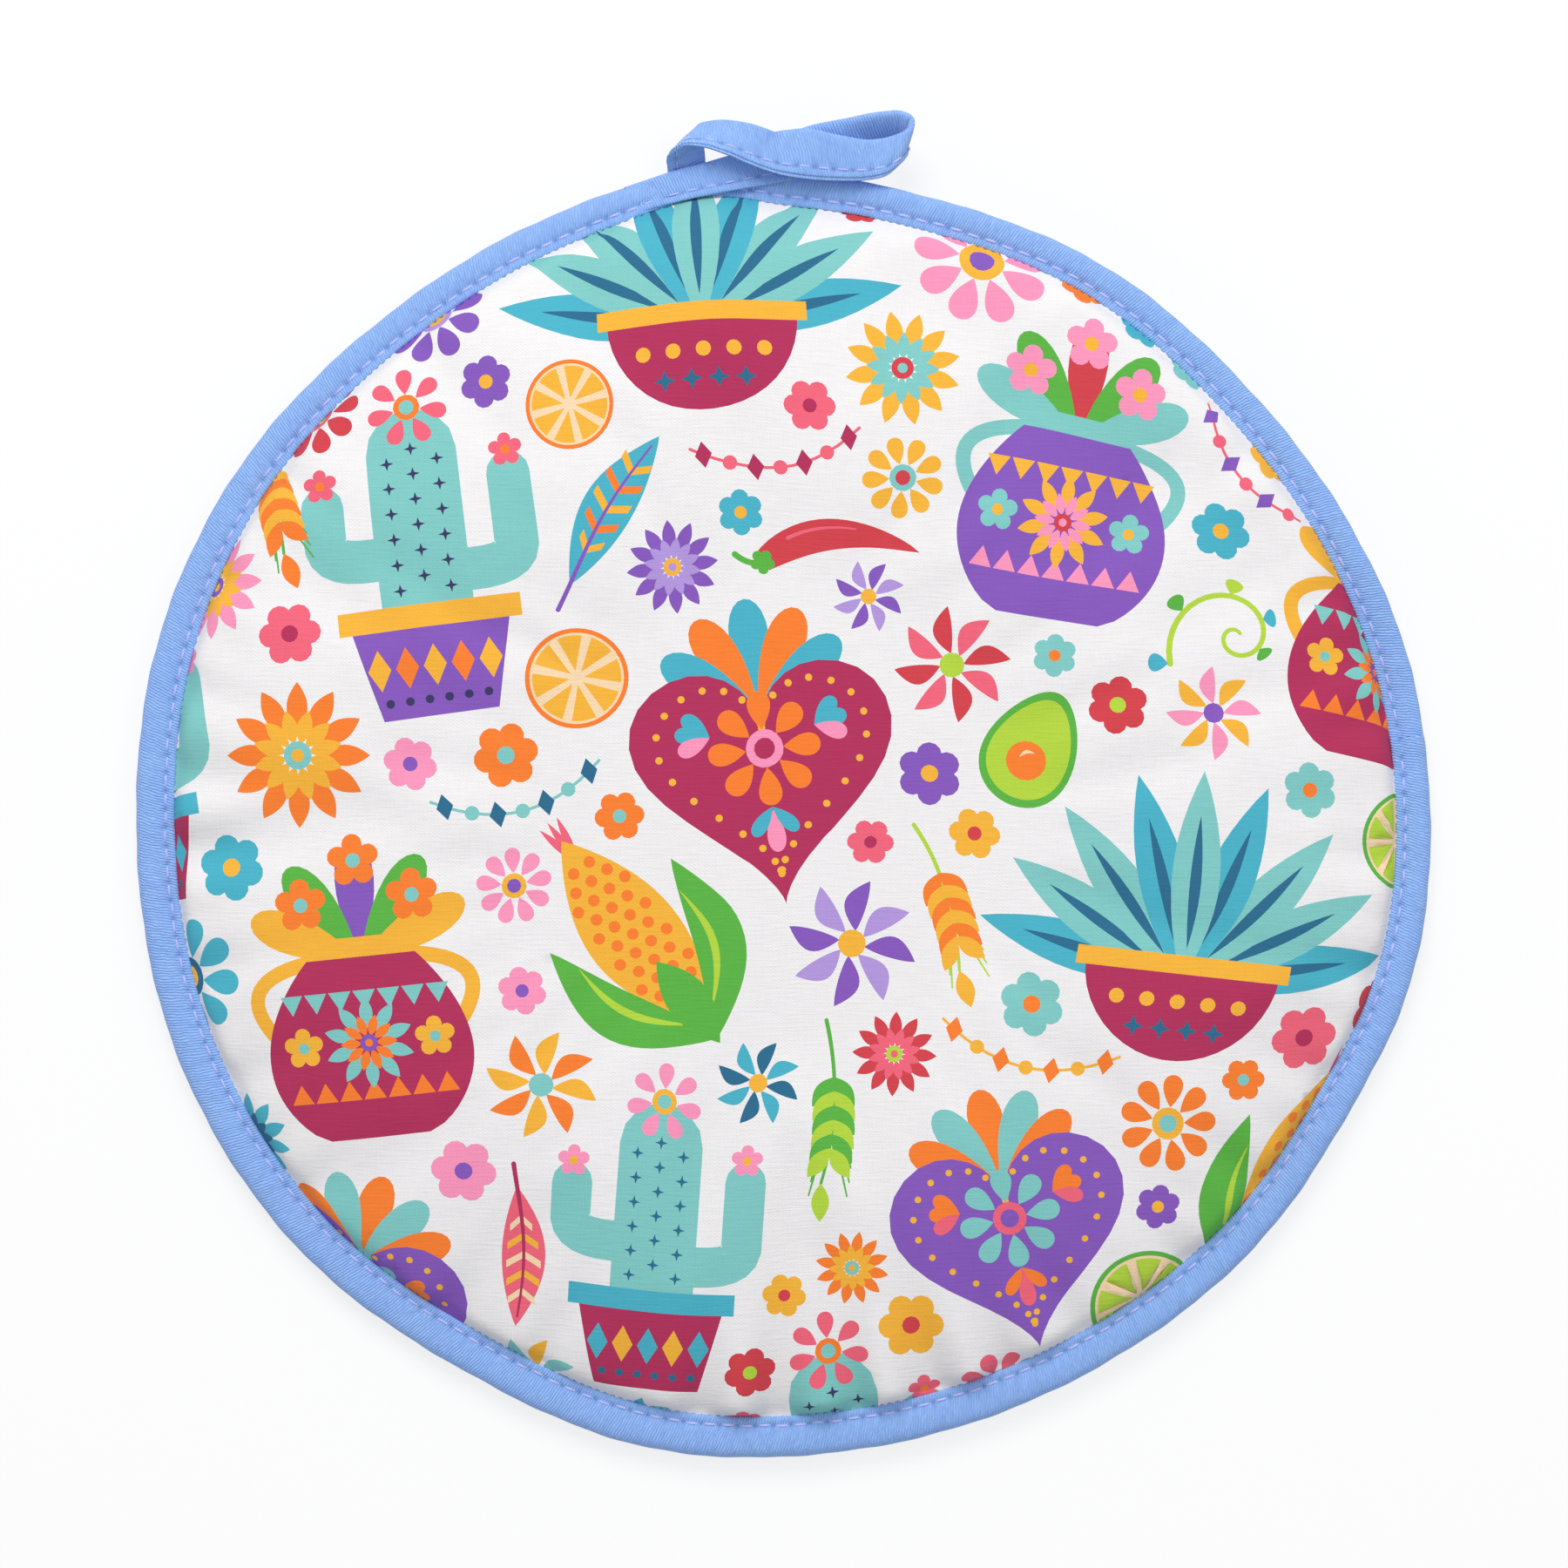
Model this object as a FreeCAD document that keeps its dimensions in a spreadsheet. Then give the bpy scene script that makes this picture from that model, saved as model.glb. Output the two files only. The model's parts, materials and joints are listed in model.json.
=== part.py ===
import FreeCAD, Part
import math
import os
import re
import Sketcher

# A round cloth tortilla warmer lying flat, in millimetres.
# The origin is the middle of its flat underside, +Z is up out of the printed front, and +Y points to the hang loop.
# Two quilted discs are bound together at the rim, apart from one arc where the mouth is.
# Each mouth piece is drawn with the mouth's middle on +X, and its Placement turns it to the real direction.

doc = FreeCAD.newDocument("tortilla_warmer")
V = FreeCAD.Vector

SIZES = {
    # the disc, by radius from its middle
    "disc_radius": 152.4,
    "panel_radius": 150.4,
    "edge_radius": 143.0,
    "floor_radius": 133.5,
    "pocket_radius": 134.0,
    "crown_radius": 109.2,
    "shoulder_radius": 127.5,
    # heights above the table of the two panels, at their sewn edge and at their middle
    "back_edge_low": 1.6,
    "panel_edge_thick": 2.6,
    "back_thick": 6.0,
    "front_low_crown": 13.6,
    "front_top_crown": 19.6,
    "shoulder_share": 0.72,
    "cloth_thick": 0.5,
    # the bias tape round the edges
    "tape_thick": 0.6,
    "closed_tape_show": 9.4,
    "mouth_tape_show": 7.6,
    "closed_roll": 1.7,
    "mouth_roll": 1.2,
    # the mouth, whose front lip lifts about the line between its ends
    "mouth_direction": 52.0,
    "mouth_half_angle": 46.0,
    "mouth_rest_lift": 9.5,
    "mouth_most_lift": 37.5,
    "lip_gap": 1.5,
    "fold_height": 9.5,
    "fold_clearance": 0.15,
    # the hang loop, one strip of folded tape closed on itself
    "loop_length": 55.0,
    "loop_height": 8.4,
    "loop_strip_thick": 1.1,
    "loop_strip_width": 10.8,
    "loop_low": 8.5,
    "loop_tilt": 2.5,
    "root_across": -24.0,
    "root_up": 152.95,
    "root_to_end": 3.0,
    "strip_start": 0.0,
    "root_length": 3.6,
    "root_thick": 2.0,
    "root_low": 2.4,
}

sheet = doc.addObject("Spreadsheet::Sheet", "Sizes")
for row, (alias, value) in enumerate(SIZES.items(), start=1):
    sheet.set(f"A{row}", alias)
    sheet.set(f"B{row}", str(value))
    sheet.setAlias(f"B{row}", alias)
doc.recompute()


def sized(expression):
    """The expression with each size's word made a reference to the sheet."""
    return re.sub("[a-z_]+", lambda word: f"Sizes.{word[0]}" if word[0] in SIZES else word[0], expression)


def value_of(expression):
    return float(sheet.evalExpression(sized(expression)))


# Heights that several layers share
BACK_EDGE_TOP = "(back_edge_low + panel_edge_thick)"
RIM_TOP = "(back_edge_low + 2 * panel_edge_thick)"
FOLD_LINE = "(disc_radius * cos(mouth_half_angle * 1 deg))"
FOLD_LEAN = "tan(mouth_most_lift * 1 deg)"
ABOVE_ALL = "(2 * front_top_crown)"
BELOW_ALL = "(-front_top_crown)"

# The sketcher's numbers for the axes and for the ends of a line
ORIGIN = -1
HORIZONTAL_AXIS = -1
VERTICAL_AXIS = -2
START = 1
END = 2


def new_body(label):
    body = doc.addObject("PartDesign::Body", label)
    body.Label = label
    return body


def new_sketch(body, plane, name):
    sketch = body.newObject("Sketcher::SketchObject", name)
    sketch.AttachmentSupport = [(find_plane(body, plane), "")]
    sketch.MapMode = "FlatFace"
    return sketch


def find_plane(body, role):
    for feature in body.Origin.OriginFeatures:
        if feature.Role == role:
            return feature
    raise ValueError(role)


def pin(sketch, piece, end, across, up):
    """Holds a point of the sketch at its two sizes."""
    for kind, axis, expression in (("DistanceX", VERTICAL_AXIS, across), ("DistanceY", HORIZONTAL_AXIS, up)):
        if expression == "0":
            sketch.addConstraint(Sketcher.Constraint("PointOnObject", piece, end, axis))
            continue
        number = sketch.addConstraint(
            Sketcher.Constraint(kind, ORIGIN, START, piece, end, value_of(expression))
        )
        sketch.setExpression(f"Constraints[{number}]", sized(expression))


def closed_outline(sketch, corners):
    """A closed outline of straight runs through corners, each (across, up)."""
    points = [V(value_of(across), value_of(up), 0) for across, up in corners]
    lines = [
        sketch.addGeometry(Part.LineSegment(points[number - 1], point), False)
        for number, point in enumerate(points)
    ]
    for number, (across, up) in enumerate(corners):
        after = lines[(number + 1) % len(lines)]
        sketch.addConstraint(Sketcher.Constraint("Coincident", lines[number], END, after, START))
        pin(sketch, lines[number], END, across, up)


def cloth_face(corners):
    """One face of a layer, out from the disc's axis. It is level as far as the first of the corners, which are each
    (radius, height), and level again from the last, under the tape."""
    return [("0", corners[0][1])] + corners + [("panel_radius", corners[-1][1])]


def revolve(body, sketch):
    turn = body.newObject("PartDesign::Revolution", f"{body.Name}_turn")
    turn.Profile = sketch
    turn.ReferenceAxis = (sketch, ["V_Axis"])
    turn.Angle = 360
    sketch.Visibility = False
    doc.recompute()


def layer(label, low, top):
    """A layer of a panel, as a disc turned from its two faces."""
    body = new_body(label)
    sketch = new_sketch(body, "XZ_Plane", f"{label}_profile")
    closed_outline(sketch, cloth_face(low) + cloth_face(top)[::-1])
    revolve(body, sketch)
    return body


def tape(label, low, top, show, roll):
    """A turned strip of tape whose section wraps the panels' edge from low to top and rolls over outside it."""
    body = new_body(label)
    sketch = new_sketch(body, "XZ_Plane", f"{label}_profile")
    inner = f"disc_radius - {show}"
    closed_outline(sketch, [
        (inner, top),
        ("panel_radius", top),
        ("panel_radius", low),
        (inner, low),
        (inner, f"{low} - tape_thick"),
        (f"disc_radius - {roll}", f"{low} - tape_thick"),
        ("disc_radius", f"{low} - tape_thick + {roll}"),
        ("disc_radius", f"{top} + tape_thick - {roll}"),
        (f"disc_radius - {roll}", f"{top} + tape_thick"),
        (inner, f"{top} + tape_thick"),
    ])
    revolve(body, sketch)
    return body


def cut(body, corners):
    """Takes away everything over the outline, right across the disc."""
    sketch = new_sketch(body, "XZ_Plane", f"{body.Name}_cut")
    closed_outline(sketch, corners)
    whole = body.Tip.Shape.Volume
    pocket = body.newObject("PartDesign::Pocket", f"{body.Name}_pocket")
    pocket.Profile = sketch
    pocket.Type = 0
    pocket.setExpression("Length", sized("4 * disc_radius"))
    pocket.Midplane = True
    sketch.Visibility = False
    doc.recompute()
    if not 0 < pocket.Shape.Volume < whole * 0.999:
        raise ValueError(f"the cut left {body.Label} as it was")


def keep_fixed(body):
    """Leaves what is on the closed side of the fold line."""
    side = f"{FOLD_LINE} - fold_clearance"
    cut(body, [
        (side, BELOW_ALL),
        ("2 * disc_radius", BELOW_ALL),
        ("2 * disc_radius", ABOVE_ALL),
        (side, ABOVE_ALL),
    ])


def keep_mouth(body):
    """Leaves what is on the mouth's side of the fold line, square to the table."""
    side = f"{FOLD_LINE} - fold_clearance"
    cut(body, [
        ("-2 * disc_radius", BELOW_ALL),
        (side, BELOW_ALL),
        (side, ABOVE_ALL),
        ("-2 * disc_radius", ABOVE_ALL),
    ])


def keep_flap(body):
    """Leaves the part that lifts. Above the fold its face leans away, to stand upright when the mouth is widest."""
    side = f"{FOLD_LINE} + fold_clearance"
    leaning = f"{side} + ({ABOVE_ALL} - fold_height) * {FOLD_LEAN}"
    cut(body, [
        ("-2 * disc_radius", BELOW_ALL),
        (side, BELOW_ALL),
        (side, "fold_height"),
        (leaning, ABOVE_ALL),
        ("-2 * disc_radius", ABOVE_ALL),
    ])


def turn_to_mouth(body):
    body.Placement.Rotation = FreeCAD.Rotation(V(0, 0, 1), value_of("mouth_direction"))


def lift_at_fold(body):
    """Tips the piece up about the fold line to where it rests, then turns it to the mouth."""
    fold = V(value_of(FOLD_LINE), 0, value_of("fold_height"))
    tip = FreeCAD.Rotation(V(0, -1, 0), value_of("mouth_rest_lift"))
    turn = FreeCAD.Rotation(V(0, 0, 1), value_of("mouth_direction"))
    body.Placement = FreeCAD.Placement(V(0, 0, 0), turn) * FreeCAD.Placement(fold - tip.multVec(fold), tip)


# The back panel: flat where it lies on the table, and drawn up to the rim
def table_face(height):
    """The back panel's face towards the table, raised by height."""
    return [("floor_radius", height), ("edge_radius", f"(back_edge_low + {height})")]


def pocket_floor(depth):
    """The back panel's face towards the pocket, lowered by depth."""
    return [("pocket_radius", f"(back_thick - {depth})"), ("edge_radius", f"({BACK_EDGE_TOP} - {depth})")]


back_pieces = [
    layer("back_cover", table_face("0"), table_face("cloth_thick")),
    layer("back_batting", table_face("cloth_thick"), pocket_floor("cloth_thick")),
    layer("back_lining", pocket_floor("cloth_thick"), pocket_floor("0")),
]


# The front panel: a plump dome. Its lip at the mouth has its edge a little higher, to clear the back one
def dome(crown, edge, shift):
    """A face that falls from its crown to its edge by way of a shoulder, moved up by shift."""
    shoulder = f"({edge} + shoulder_share * ({crown} - {edge}) + {shift})"
    return [
        ("crown_radius", f"({crown} + {shift})"),
        ("shoulder_radius", shoulder),
        ("edge_radius", f"({edge} + {shift})"),
    ]


def front_layers(prefix, low_edge, keep):
    under = ("front_low_crown", low_edge)
    over = ("front_top_crown", f"({low_edge} + panel_edge_thick)")
    made = [
        layer(f"{prefix}_lining", dome(*under, "0"), dome(*under, "cloth_thick")),
        layer(f"{prefix}_batting", dome(*under, "cloth_thick"), dome(*over, "-cloth_thick")),
        layer(f"{prefix}_cover", dome(*over, "-cloth_thick"), dome(*over, "0")),
    ]
    for body in made:
        keep(body)
    return made


LIP_EDGE_LOW = f"({BACK_EDGE_TOP} + lip_gap)"
LIP_EDGE_TOP = f"({LIP_EDGE_LOW} + panel_edge_thick)"
front_pieces = front_layers("front", BACK_EDGE_TOP, keep_fixed)
flap_pieces = front_layers("flap", LIP_EDGE_LOW, keep_flap)

# The tape: one strip round both panels where the rim is closed, and one along each lip of the mouth
rim_binding = tape("rim_binding", "back_edge_low", RIM_TOP, "closed_tape_show", "closed_roll")
keep_fixed(rim_binding)
back_mouth_binding = tape(
    "back_mouth_binding", "back_edge_low", BACK_EDGE_TOP, "mouth_tape_show", "mouth_roll"
)
keep_mouth(back_mouth_binding)
front_mouth_binding = tape(
    "front_mouth_binding", LIP_EDGE_LOW, LIP_EDGE_TOP, "mouth_tape_show", "mouth_roll"
)
keep_flap(front_mouth_binding)

for piece in back_pieces + front_pieces + [rim_binding, back_mouth_binding]:
    turn_to_mouth(piece)
for piece in flap_pieces + [front_mouth_binding]:
    lift_at_fold(piece)


# The hang loop: a flattened ring of tape over the rim, on a gathered root that is sewn to the rim's outer edge.
# It is drawn with its root on the Z axis, and the strip's width along Y.
def racetrack(sketch, left, right, low, high):
    """Two straight runs joined by a half circle at each end."""
    radius = f"({high} - {low}) / 2"
    bend = value_of(radius)
    level = value_of(f"({high} + {low}) / 2")
    first = value_of(left) + bend
    last = value_of(right) - bend
    bottom = sketch.addGeometry(Part.LineSegment(V(first, level - bend, 0), V(last, level - bend, 0)), False)
    top = sketch.addGeometry(Part.LineSegment(V(last, level + bend, 0), V(first, level + bend, 0)), False)
    ends = []
    for across, begin in ((last, -math.pi / 2), (first, math.pi / 2)):
        circle = Part.Circle(V(across, level, 0), V(0, 0, 1), bend)
        ends.append(sketch.addGeometry(Part.ArcOfCircle(circle, begin, begin + math.pi), False))
    for before, after in ((bottom, ends[0]), (ends[0], top), (top, ends[1]), (ends[1], bottom)):
        sketch.addConstraint(Sketcher.Constraint("Tangent", before, END, after, START))
    sketch.addConstraint(Sketcher.Constraint("Horizontal", bottom))
    pin(sketch, bottom, START, f"{left} + {radius}", low)
    pin(sketch, top, START, f"{right} - {radius}", high)


def add_hang_loop():
    body = new_body("hang_loop")
    ring = new_sketch(body, "XZ_Plane", "loop_ring")
    ring.setExpression("AttachmentOffset.Base.z", sized("-strip_start"))
    left = "(-root_to_end)"
    right = "(loop_length - root_to_end)"
    top = "(loop_low + loop_height)"
    racetrack(ring, left, right, "loop_low", top)
    wall = "loop_strip_thick"
    racetrack(ring, f"({left} + {wall})", f"({right} - {wall})", f"(loop_low + {wall})", f"({top} - {wall})")
    strip = body.newObject("PartDesign::Pad", "loop_strip")
    strip.Profile = ring
    strip.Reversed = True
    strip.setExpression("Length", sized("loop_strip_width"))
    doc.recompute()
    foot = new_sketch(body, "XY_Plane", "loop_foot")
    foot.setExpression("AttachmentOffset.Base.z", sized("root_low"))
    closed_outline(foot, [
        ("-root_length / 2", "-root_thick / 2"),
        ("root_length / 2", "-root_thick / 2"),
        ("root_length / 2", "root_thick / 2"),
        ("-root_length / 2", "root_thick / 2"),
    ])
    root = body.newObject("PartDesign::Pad", "loop_root")
    root.Profile = foot
    root.setExpression("Length", sized("loop_low + loop_strip_thick / 2 - root_low"))
    ring.Visibility = False
    foot.Visibility = False
    doc.recompute()
    body.Placement = FreeCAD.Placement(
        V(value_of("root_across"), value_of("root_up"), 0),
        FreeCAD.Rotation(V(0, 0, 1), value_of("loop_tilt")),
    )
    return body


loop = add_hang_loop()
pieces = back_pieces + front_pieces + flap_pieces + [rim_binding, back_mouth_binding, front_mouth_binding, loop]

doc.recompute()
for thing in doc.Objects:
    if {"Invalid", "Error"} & set(thing.State):
        raise ValueError(f"{thing.Label}: {thing.State}")
for piece in pieces:
    if piece.Shape.isNull() or not piece.Shape.isValid() or len(piece.Shape.Solids) != 1:
        raise ValueError(f"{piece.Label} is not one valid solid")

os.makedirs("parts", exist_ok=True)
for piece in pieces:
    piece.Shape.exportStep(f"parts/{piece.Label}.step")
    print(piece.Label, round(piece.Shape.Volume / 1000, 2), "cubic centimetres")
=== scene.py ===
"""A round quilted tortilla pouch, seen from straight above: printed cover, blue bias tape, hang loop."""
import json
import math

import bpy
import numpy as np
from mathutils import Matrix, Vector
from mathutils.geometry import delaunay_2d_cdt


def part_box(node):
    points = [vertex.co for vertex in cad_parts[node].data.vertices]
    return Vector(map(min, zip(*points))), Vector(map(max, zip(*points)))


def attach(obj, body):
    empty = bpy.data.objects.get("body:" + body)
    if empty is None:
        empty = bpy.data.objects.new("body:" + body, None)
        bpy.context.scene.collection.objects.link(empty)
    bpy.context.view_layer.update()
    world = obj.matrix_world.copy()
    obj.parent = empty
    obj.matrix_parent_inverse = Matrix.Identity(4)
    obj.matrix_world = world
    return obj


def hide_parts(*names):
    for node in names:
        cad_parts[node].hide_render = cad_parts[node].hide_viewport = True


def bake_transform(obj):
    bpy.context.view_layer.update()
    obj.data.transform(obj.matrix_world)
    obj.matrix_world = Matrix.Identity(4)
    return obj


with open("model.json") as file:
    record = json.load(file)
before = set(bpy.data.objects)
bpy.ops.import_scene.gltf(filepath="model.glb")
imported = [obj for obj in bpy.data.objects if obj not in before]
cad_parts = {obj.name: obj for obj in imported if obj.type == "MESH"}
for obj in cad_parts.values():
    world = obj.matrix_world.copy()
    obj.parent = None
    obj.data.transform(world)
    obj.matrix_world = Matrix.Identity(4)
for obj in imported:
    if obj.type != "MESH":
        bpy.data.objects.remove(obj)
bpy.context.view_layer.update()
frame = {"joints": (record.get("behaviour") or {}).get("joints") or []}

MM = 0.001

# Colours of the print, as seen in plain light.
TEAL = "#84CDC9"
OCEAN = "#2F6F92"
CYAN = "#4DB6CC"
PURPLE = "#8A5CC0"
LILAC = "#B79AE0"
NAVY = "#3E3A66"
MAGENTA = "#B8345F"
PINK = "#FF9AC0"
CORAL = "#F6697F"
RED = "#D8454F"
ORANGE = "#FF8434"
GOLD = "#FBB93F"
CREAM = "#FCDDB4"
LIME = "#B9DB45"
GREEN = "#5FB848"
CLOTH_WHITE = "#F5F3F4"

TAPE_BLUE = "#A1C8FF"
TAPE_SHADE = "#7BA9FF"
# Painted shade: the deep blue mixed into the tape at its stitch dents and crease.
TAPE_PAINTED_SHADE = "#3F5FB0"
THREAD_LAVENDER = "#C3CBFB"
THREAD_SHADE = "#9FAEEF"
LINING_WHITE = "#ECE8E0"
BATTING_WHITE = "#F1EEE8"

# Sizes in mm, in the frame of the CAD model, and angles in radians counted from the right.
DISC_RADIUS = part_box("rim_binding")[1].x / MM
PANEL_INSET = 2.0
CLOTH_THICK = 0.5
BACK_EDGE_LOW = 1.6
PANEL_EDGE_THICK = 2.6
BACK_THICK = 6.0
FRONT_LOW_CROWN = 13.6
FRONT_TOP_CROWN = 19.6
CROWN_WIDTH = 52.0
FLOOR_WIDTH = 10.0
LIP_GAP = 1.5
REST_LIFT = math.radians(9.5)
BEND_LENGTH = 25.0
TAPE_WIDTH = 8.9
TAPE_OFF_CENTRE = 1.1
TAPE_WIDEST_AT = math.radians(245)
TAPE_END_NARROWER = 1.9
TAPE_END_DEGREES = 97
TAPE_END_SPREAD = 5.0
STITCH_PITCH = 4.5
STITCH_SHOWN = 3.1
STITCH_FROM_LIP = 2.2
STITCH_RADIUS = 0.34

fold = next(joint for joint in frame["joints"] if joint["name"] == "mouth_open")
FOLD_POINT = np.array(fold["pos_m"]) / MM
FOLD_REACH = float(np.hypot(*FOLD_POINT[:2]))
MOUTH_WAY = FOLD_POINT[:2] / FOLD_REACH
MOUTH_TURN = math.atan2(MOUTH_WAY[1], MOUTH_WAY[0])
MOUTH_HALF = math.acos(FOLD_REACH / DISC_RADIUS)

# How far the sewn rim stands out from a true circle, in mm, every so many degrees.
RIM_UNEVEN = (
    (0, 0.0), (12, -0.9), (28, -3.2), (42, -4.4), (60, -3.2), (77, -3.3), (88, -1.6), (98, 0.6),
    (112, -0.8), (127, -1.8), (150, 0.2), (165, 0.8), (180, 0.3), (203, 1.4), (222, 0.9),
    (240, -1.4), (258, -0.1), (275, -1.9), (300, -2.8), (318, -1.9), (332, -2.0), (345, 0.4),
)


def linear(colour):
    """A written colour as the linear values that Blender keeps."""
    values = [int(colour[k:k + 2], 16) / 255 for k in (1, 3, 5)]
    return [v / 12.92 if v <= 0.04045 else ((v + 0.055) / 1.055) ** 2.4 for v in values] + [1.0]


def smooth(t):
    t = np.clip(t, 0.0, 1.0)
    return t * t * (3 - 2 * t)


def through(at, values, where, period=None):
    """Values at where on a smooth line through the given ones, which may go round a period."""
    at, values = np.asarray(at, float), np.asarray(values, float)
    if period:
        at = np.concatenate([at[-2:] - period, at, at[:2] + period])
        values = np.concatenate([values[-2:], values, values[:2]])
        where = np.mod(where, period)
    slope = np.gradient(values, at, axis=0)
    left = np.clip(np.searchsorted(at, where, side="right") - 1, 0, len(at) - 2)
    width = at[left + 1] - at[left]
    t = (where - at[left]) / width
    if values.ndim > 1:
        t, width = t[:, None], width[:, None]
    start = (2 * t**3 - 3 * t**2 + 1) * values[left] + (t**3 - 2 * t**2 + t) * width * slope[left]
    return start + (3 * t**2 - 2 * t**3) * values[left + 1] + (t**3 - t**2) * width * slope[left + 1]


def ripple(where, *waves):
    """A sum of even waves, each given as length, height and start."""
    return sum(height * np.sin(2 * np.pi * where / length + start) for length, height, start in waves)


# Print: outlines are arrays of complex numbers, in mm.

def ring(count, start=0.0):
    """Points on a unit circle, with start in degrees."""
    return np.exp(1j * (np.radians(start) + 2 * np.pi * np.arange(count) / count))


def disc(radius, centre=0):
    return centre + radius * ring(max(12, int(4 * radius)))


def drop(length, width, steps=26):
    """A drop with its point at 0 and its round end at length."""
    turn = np.pi * (2 * np.arange(steps) / steps)
    return length * (1 - np.cos(turn)) / 2 + 0.65j * width * np.sin(turn) * np.abs(np.sin(turn / 2))


def leaf(length, width, sway=0.0, steps=12):
    """A leaf with points at 0 and at length. Sway bends it to one side, in mm at its middle."""
    along = np.linspace(0, 1, steps + 1)
    bend = 1j * sway * np.sin(np.pi * along)
    side = 0.5j * width * np.sin(np.pi * along) ** 0.9
    there = length * along + bend
    return np.concatenate([there + side, (there - side)[-2:0:-1]])


def lobed(radius, lobes, depth, start=0.0):
    """A round outline whose lobes meet in notches that reach in by the share depth."""
    angle = 2 * np.pi * np.arange(lobes * 10) / (lobes * 10)
    reach = 1 - depth * (1 - np.abs(np.sin(lobes * angle / 2)) ** 0.7)
    return radius * reach * np.exp(1j * (angle + np.radians(start)))


def star(points, outer, inner, start=90.0):
    radii = np.where(np.arange(2 * points) % 2 == 0, outer, inner)
    return radii * ring(2 * points, start)


def heart(width, steps=48):
    turn = 2 * np.pi * np.arange(steps) / steps
    across = 16 * np.sin(turn) ** 3
    up = 13 * np.cos(turn) - 5 * np.cos(2 * turn) - 2 * np.cos(3 * turn) - np.cos(4 * turn)
    return (across + 1j * up) * width / 32


def stroke(path, width, end_width=None):
    """A band along a path with round ends, which may narrow to end_width."""
    path = np.asarray(path, complex)
    half = np.linspace(width, width if end_width is None else end_width, len(path)) / 2
    way = np.gradient(path)
    normal = 1j * way / np.abs(way)
    left, right = path + half * normal, path - half * normal
    cap = np.exp(-1j * np.linspace(0, np.pi, 8)[1:-1])
    last = path[-1] + half[-1] * normal[-1] * cap
    first = path[0] - half[0] * normal[0] * cap
    return np.concatenate([left, last, right[::-1], first])


def arc(radius, start, end, centre=0, steps=16):
    return centre + radius * np.exp(1j * np.radians(np.linspace(start, end, steps)))


def curve(start, lean, end, steps=14):
    """A smooth path from start to end that leans towards the point lean."""
    t = np.linspace(0, 1, steps)
    return (1 - t) ** 2 * start + 2 * t * (1 - t) * lean + t**2 * end


def spin(outline, degrees):
    return outline * np.exp(1j * np.radians(degrees))


def around(colour, outline, count, start=0.0):
    """The outline repeated around the middle. Colour may be a list to go through in turn."""
    colours = [colour] if isinstance(colour, str) else colour
    return [(colours[i % len(colours)], spin(outline, start + 360 * i / count)) for i in range(count)]


def place(motif, x, y, turn=0.0):
    return [(colour, spin(outline, turn) + x + 1j * y) for colour, outline in motif]


def even(corners, step=2.0):
    """The outline with points at least every step mm, so that it can follow the cloth."""
    corners = np.asarray(corners, complex)
    ends = np.roll(corners, -1)
    runs = [np.linspace(a, b, max(1, int(abs(b - a) / step)) + 1)[:-1] for a, b in zip(corners, ends)]
    return np.concatenate(runs)


class Motif:
    """Outlines with their colours, added in shares of the motif's size."""

    def __init__(self, size):
        self.size = size
        self.parts = []

    def add(self, colour, outline, turn=0, at=0):
        """An outline that is turned by degrees and then moved."""
        self.parts.append((colour, (spin(np.asarray(outline), turn) + at) * self.size))

    def dot(self, colour, radius, at=0):
        self.parts.append((colour, disc(radius * self.size, at * self.size)))

    def lay(self, parts, at):
        self.parts += [(colour, outline + at * self.size) for colour, outline in parts]


def spaced(count, pitch):
    """Places side by side and centred on 0, a pitch apart."""
    return [(number - (count - 1) / 2) * pitch for number in range(count)]


def daisy(size, petal, collar, eye, count=9):
    """A flower with loose drop petals, size mm across."""
    petals = around(petal, 0.17 * size + drop(0.34 * size, 0.21 * size), count, 90)
    return petals + [(collar, disc(0.17 * size)), (eye, disc(0.095 * size))]


def dahlia(size, outer, inner, eye, count=12):
    """Two rings of pointed petals, size mm across."""
    back = around(outer, 0.16 * size + leaf(0.35 * size, 0.15 * size), count, 90)
    front = around(inner, 0.08 * size + leaf(0.24 * size, 0.11 * size), count, 90 + 180 / count)
    return back + front + [(eye, disc(0.1 * size)), (inner, disc(0.045 * size))]


def pinwheel(size, blade, other, eye, count=8):
    """Curled petals that all lean one way."""
    petal = 0.1 * size + leaf(0.41 * size, 0.17 * size, 0.06 * size)
    return around([blade, other], petal, count, 90) + [(eye, disc(0.11 * size))]


def blossom(size, petal, eye, count=5):
    """A small flower of round petals."""
    petals = around(petal, disc(0.185 * size, 0.29 * size), count, 90)
    return petals + [(petal, disc(0.22 * size)), (eye, disc(0.13 * size))]


def wheat(length, grain, husk, stem, bend=5.0):
    """A bent ear of wheat with whiskers."""
    path = curve(0, length / 2 + 1j * bend, length, 24)
    parts = [(stem, stroke(path, 1.0, 0.7))]
    for number in range(6):
        at = path[8 + 2 * number]
        for way in (1, -1):
            whisker = np.linspace(spin(6 + 0j, way * 30), spin(12 + 0j, way * 22), 5)
            parts.append((stem, at + stroke(whisker, 0.5, 0.4)))
            parts.append((grain if number % 2 else husk, at + spin(leaf(8.5, 4.0), way * 36)))
    return parts + [(grain, path[-1] + leaf(9, 4.2))]


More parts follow.
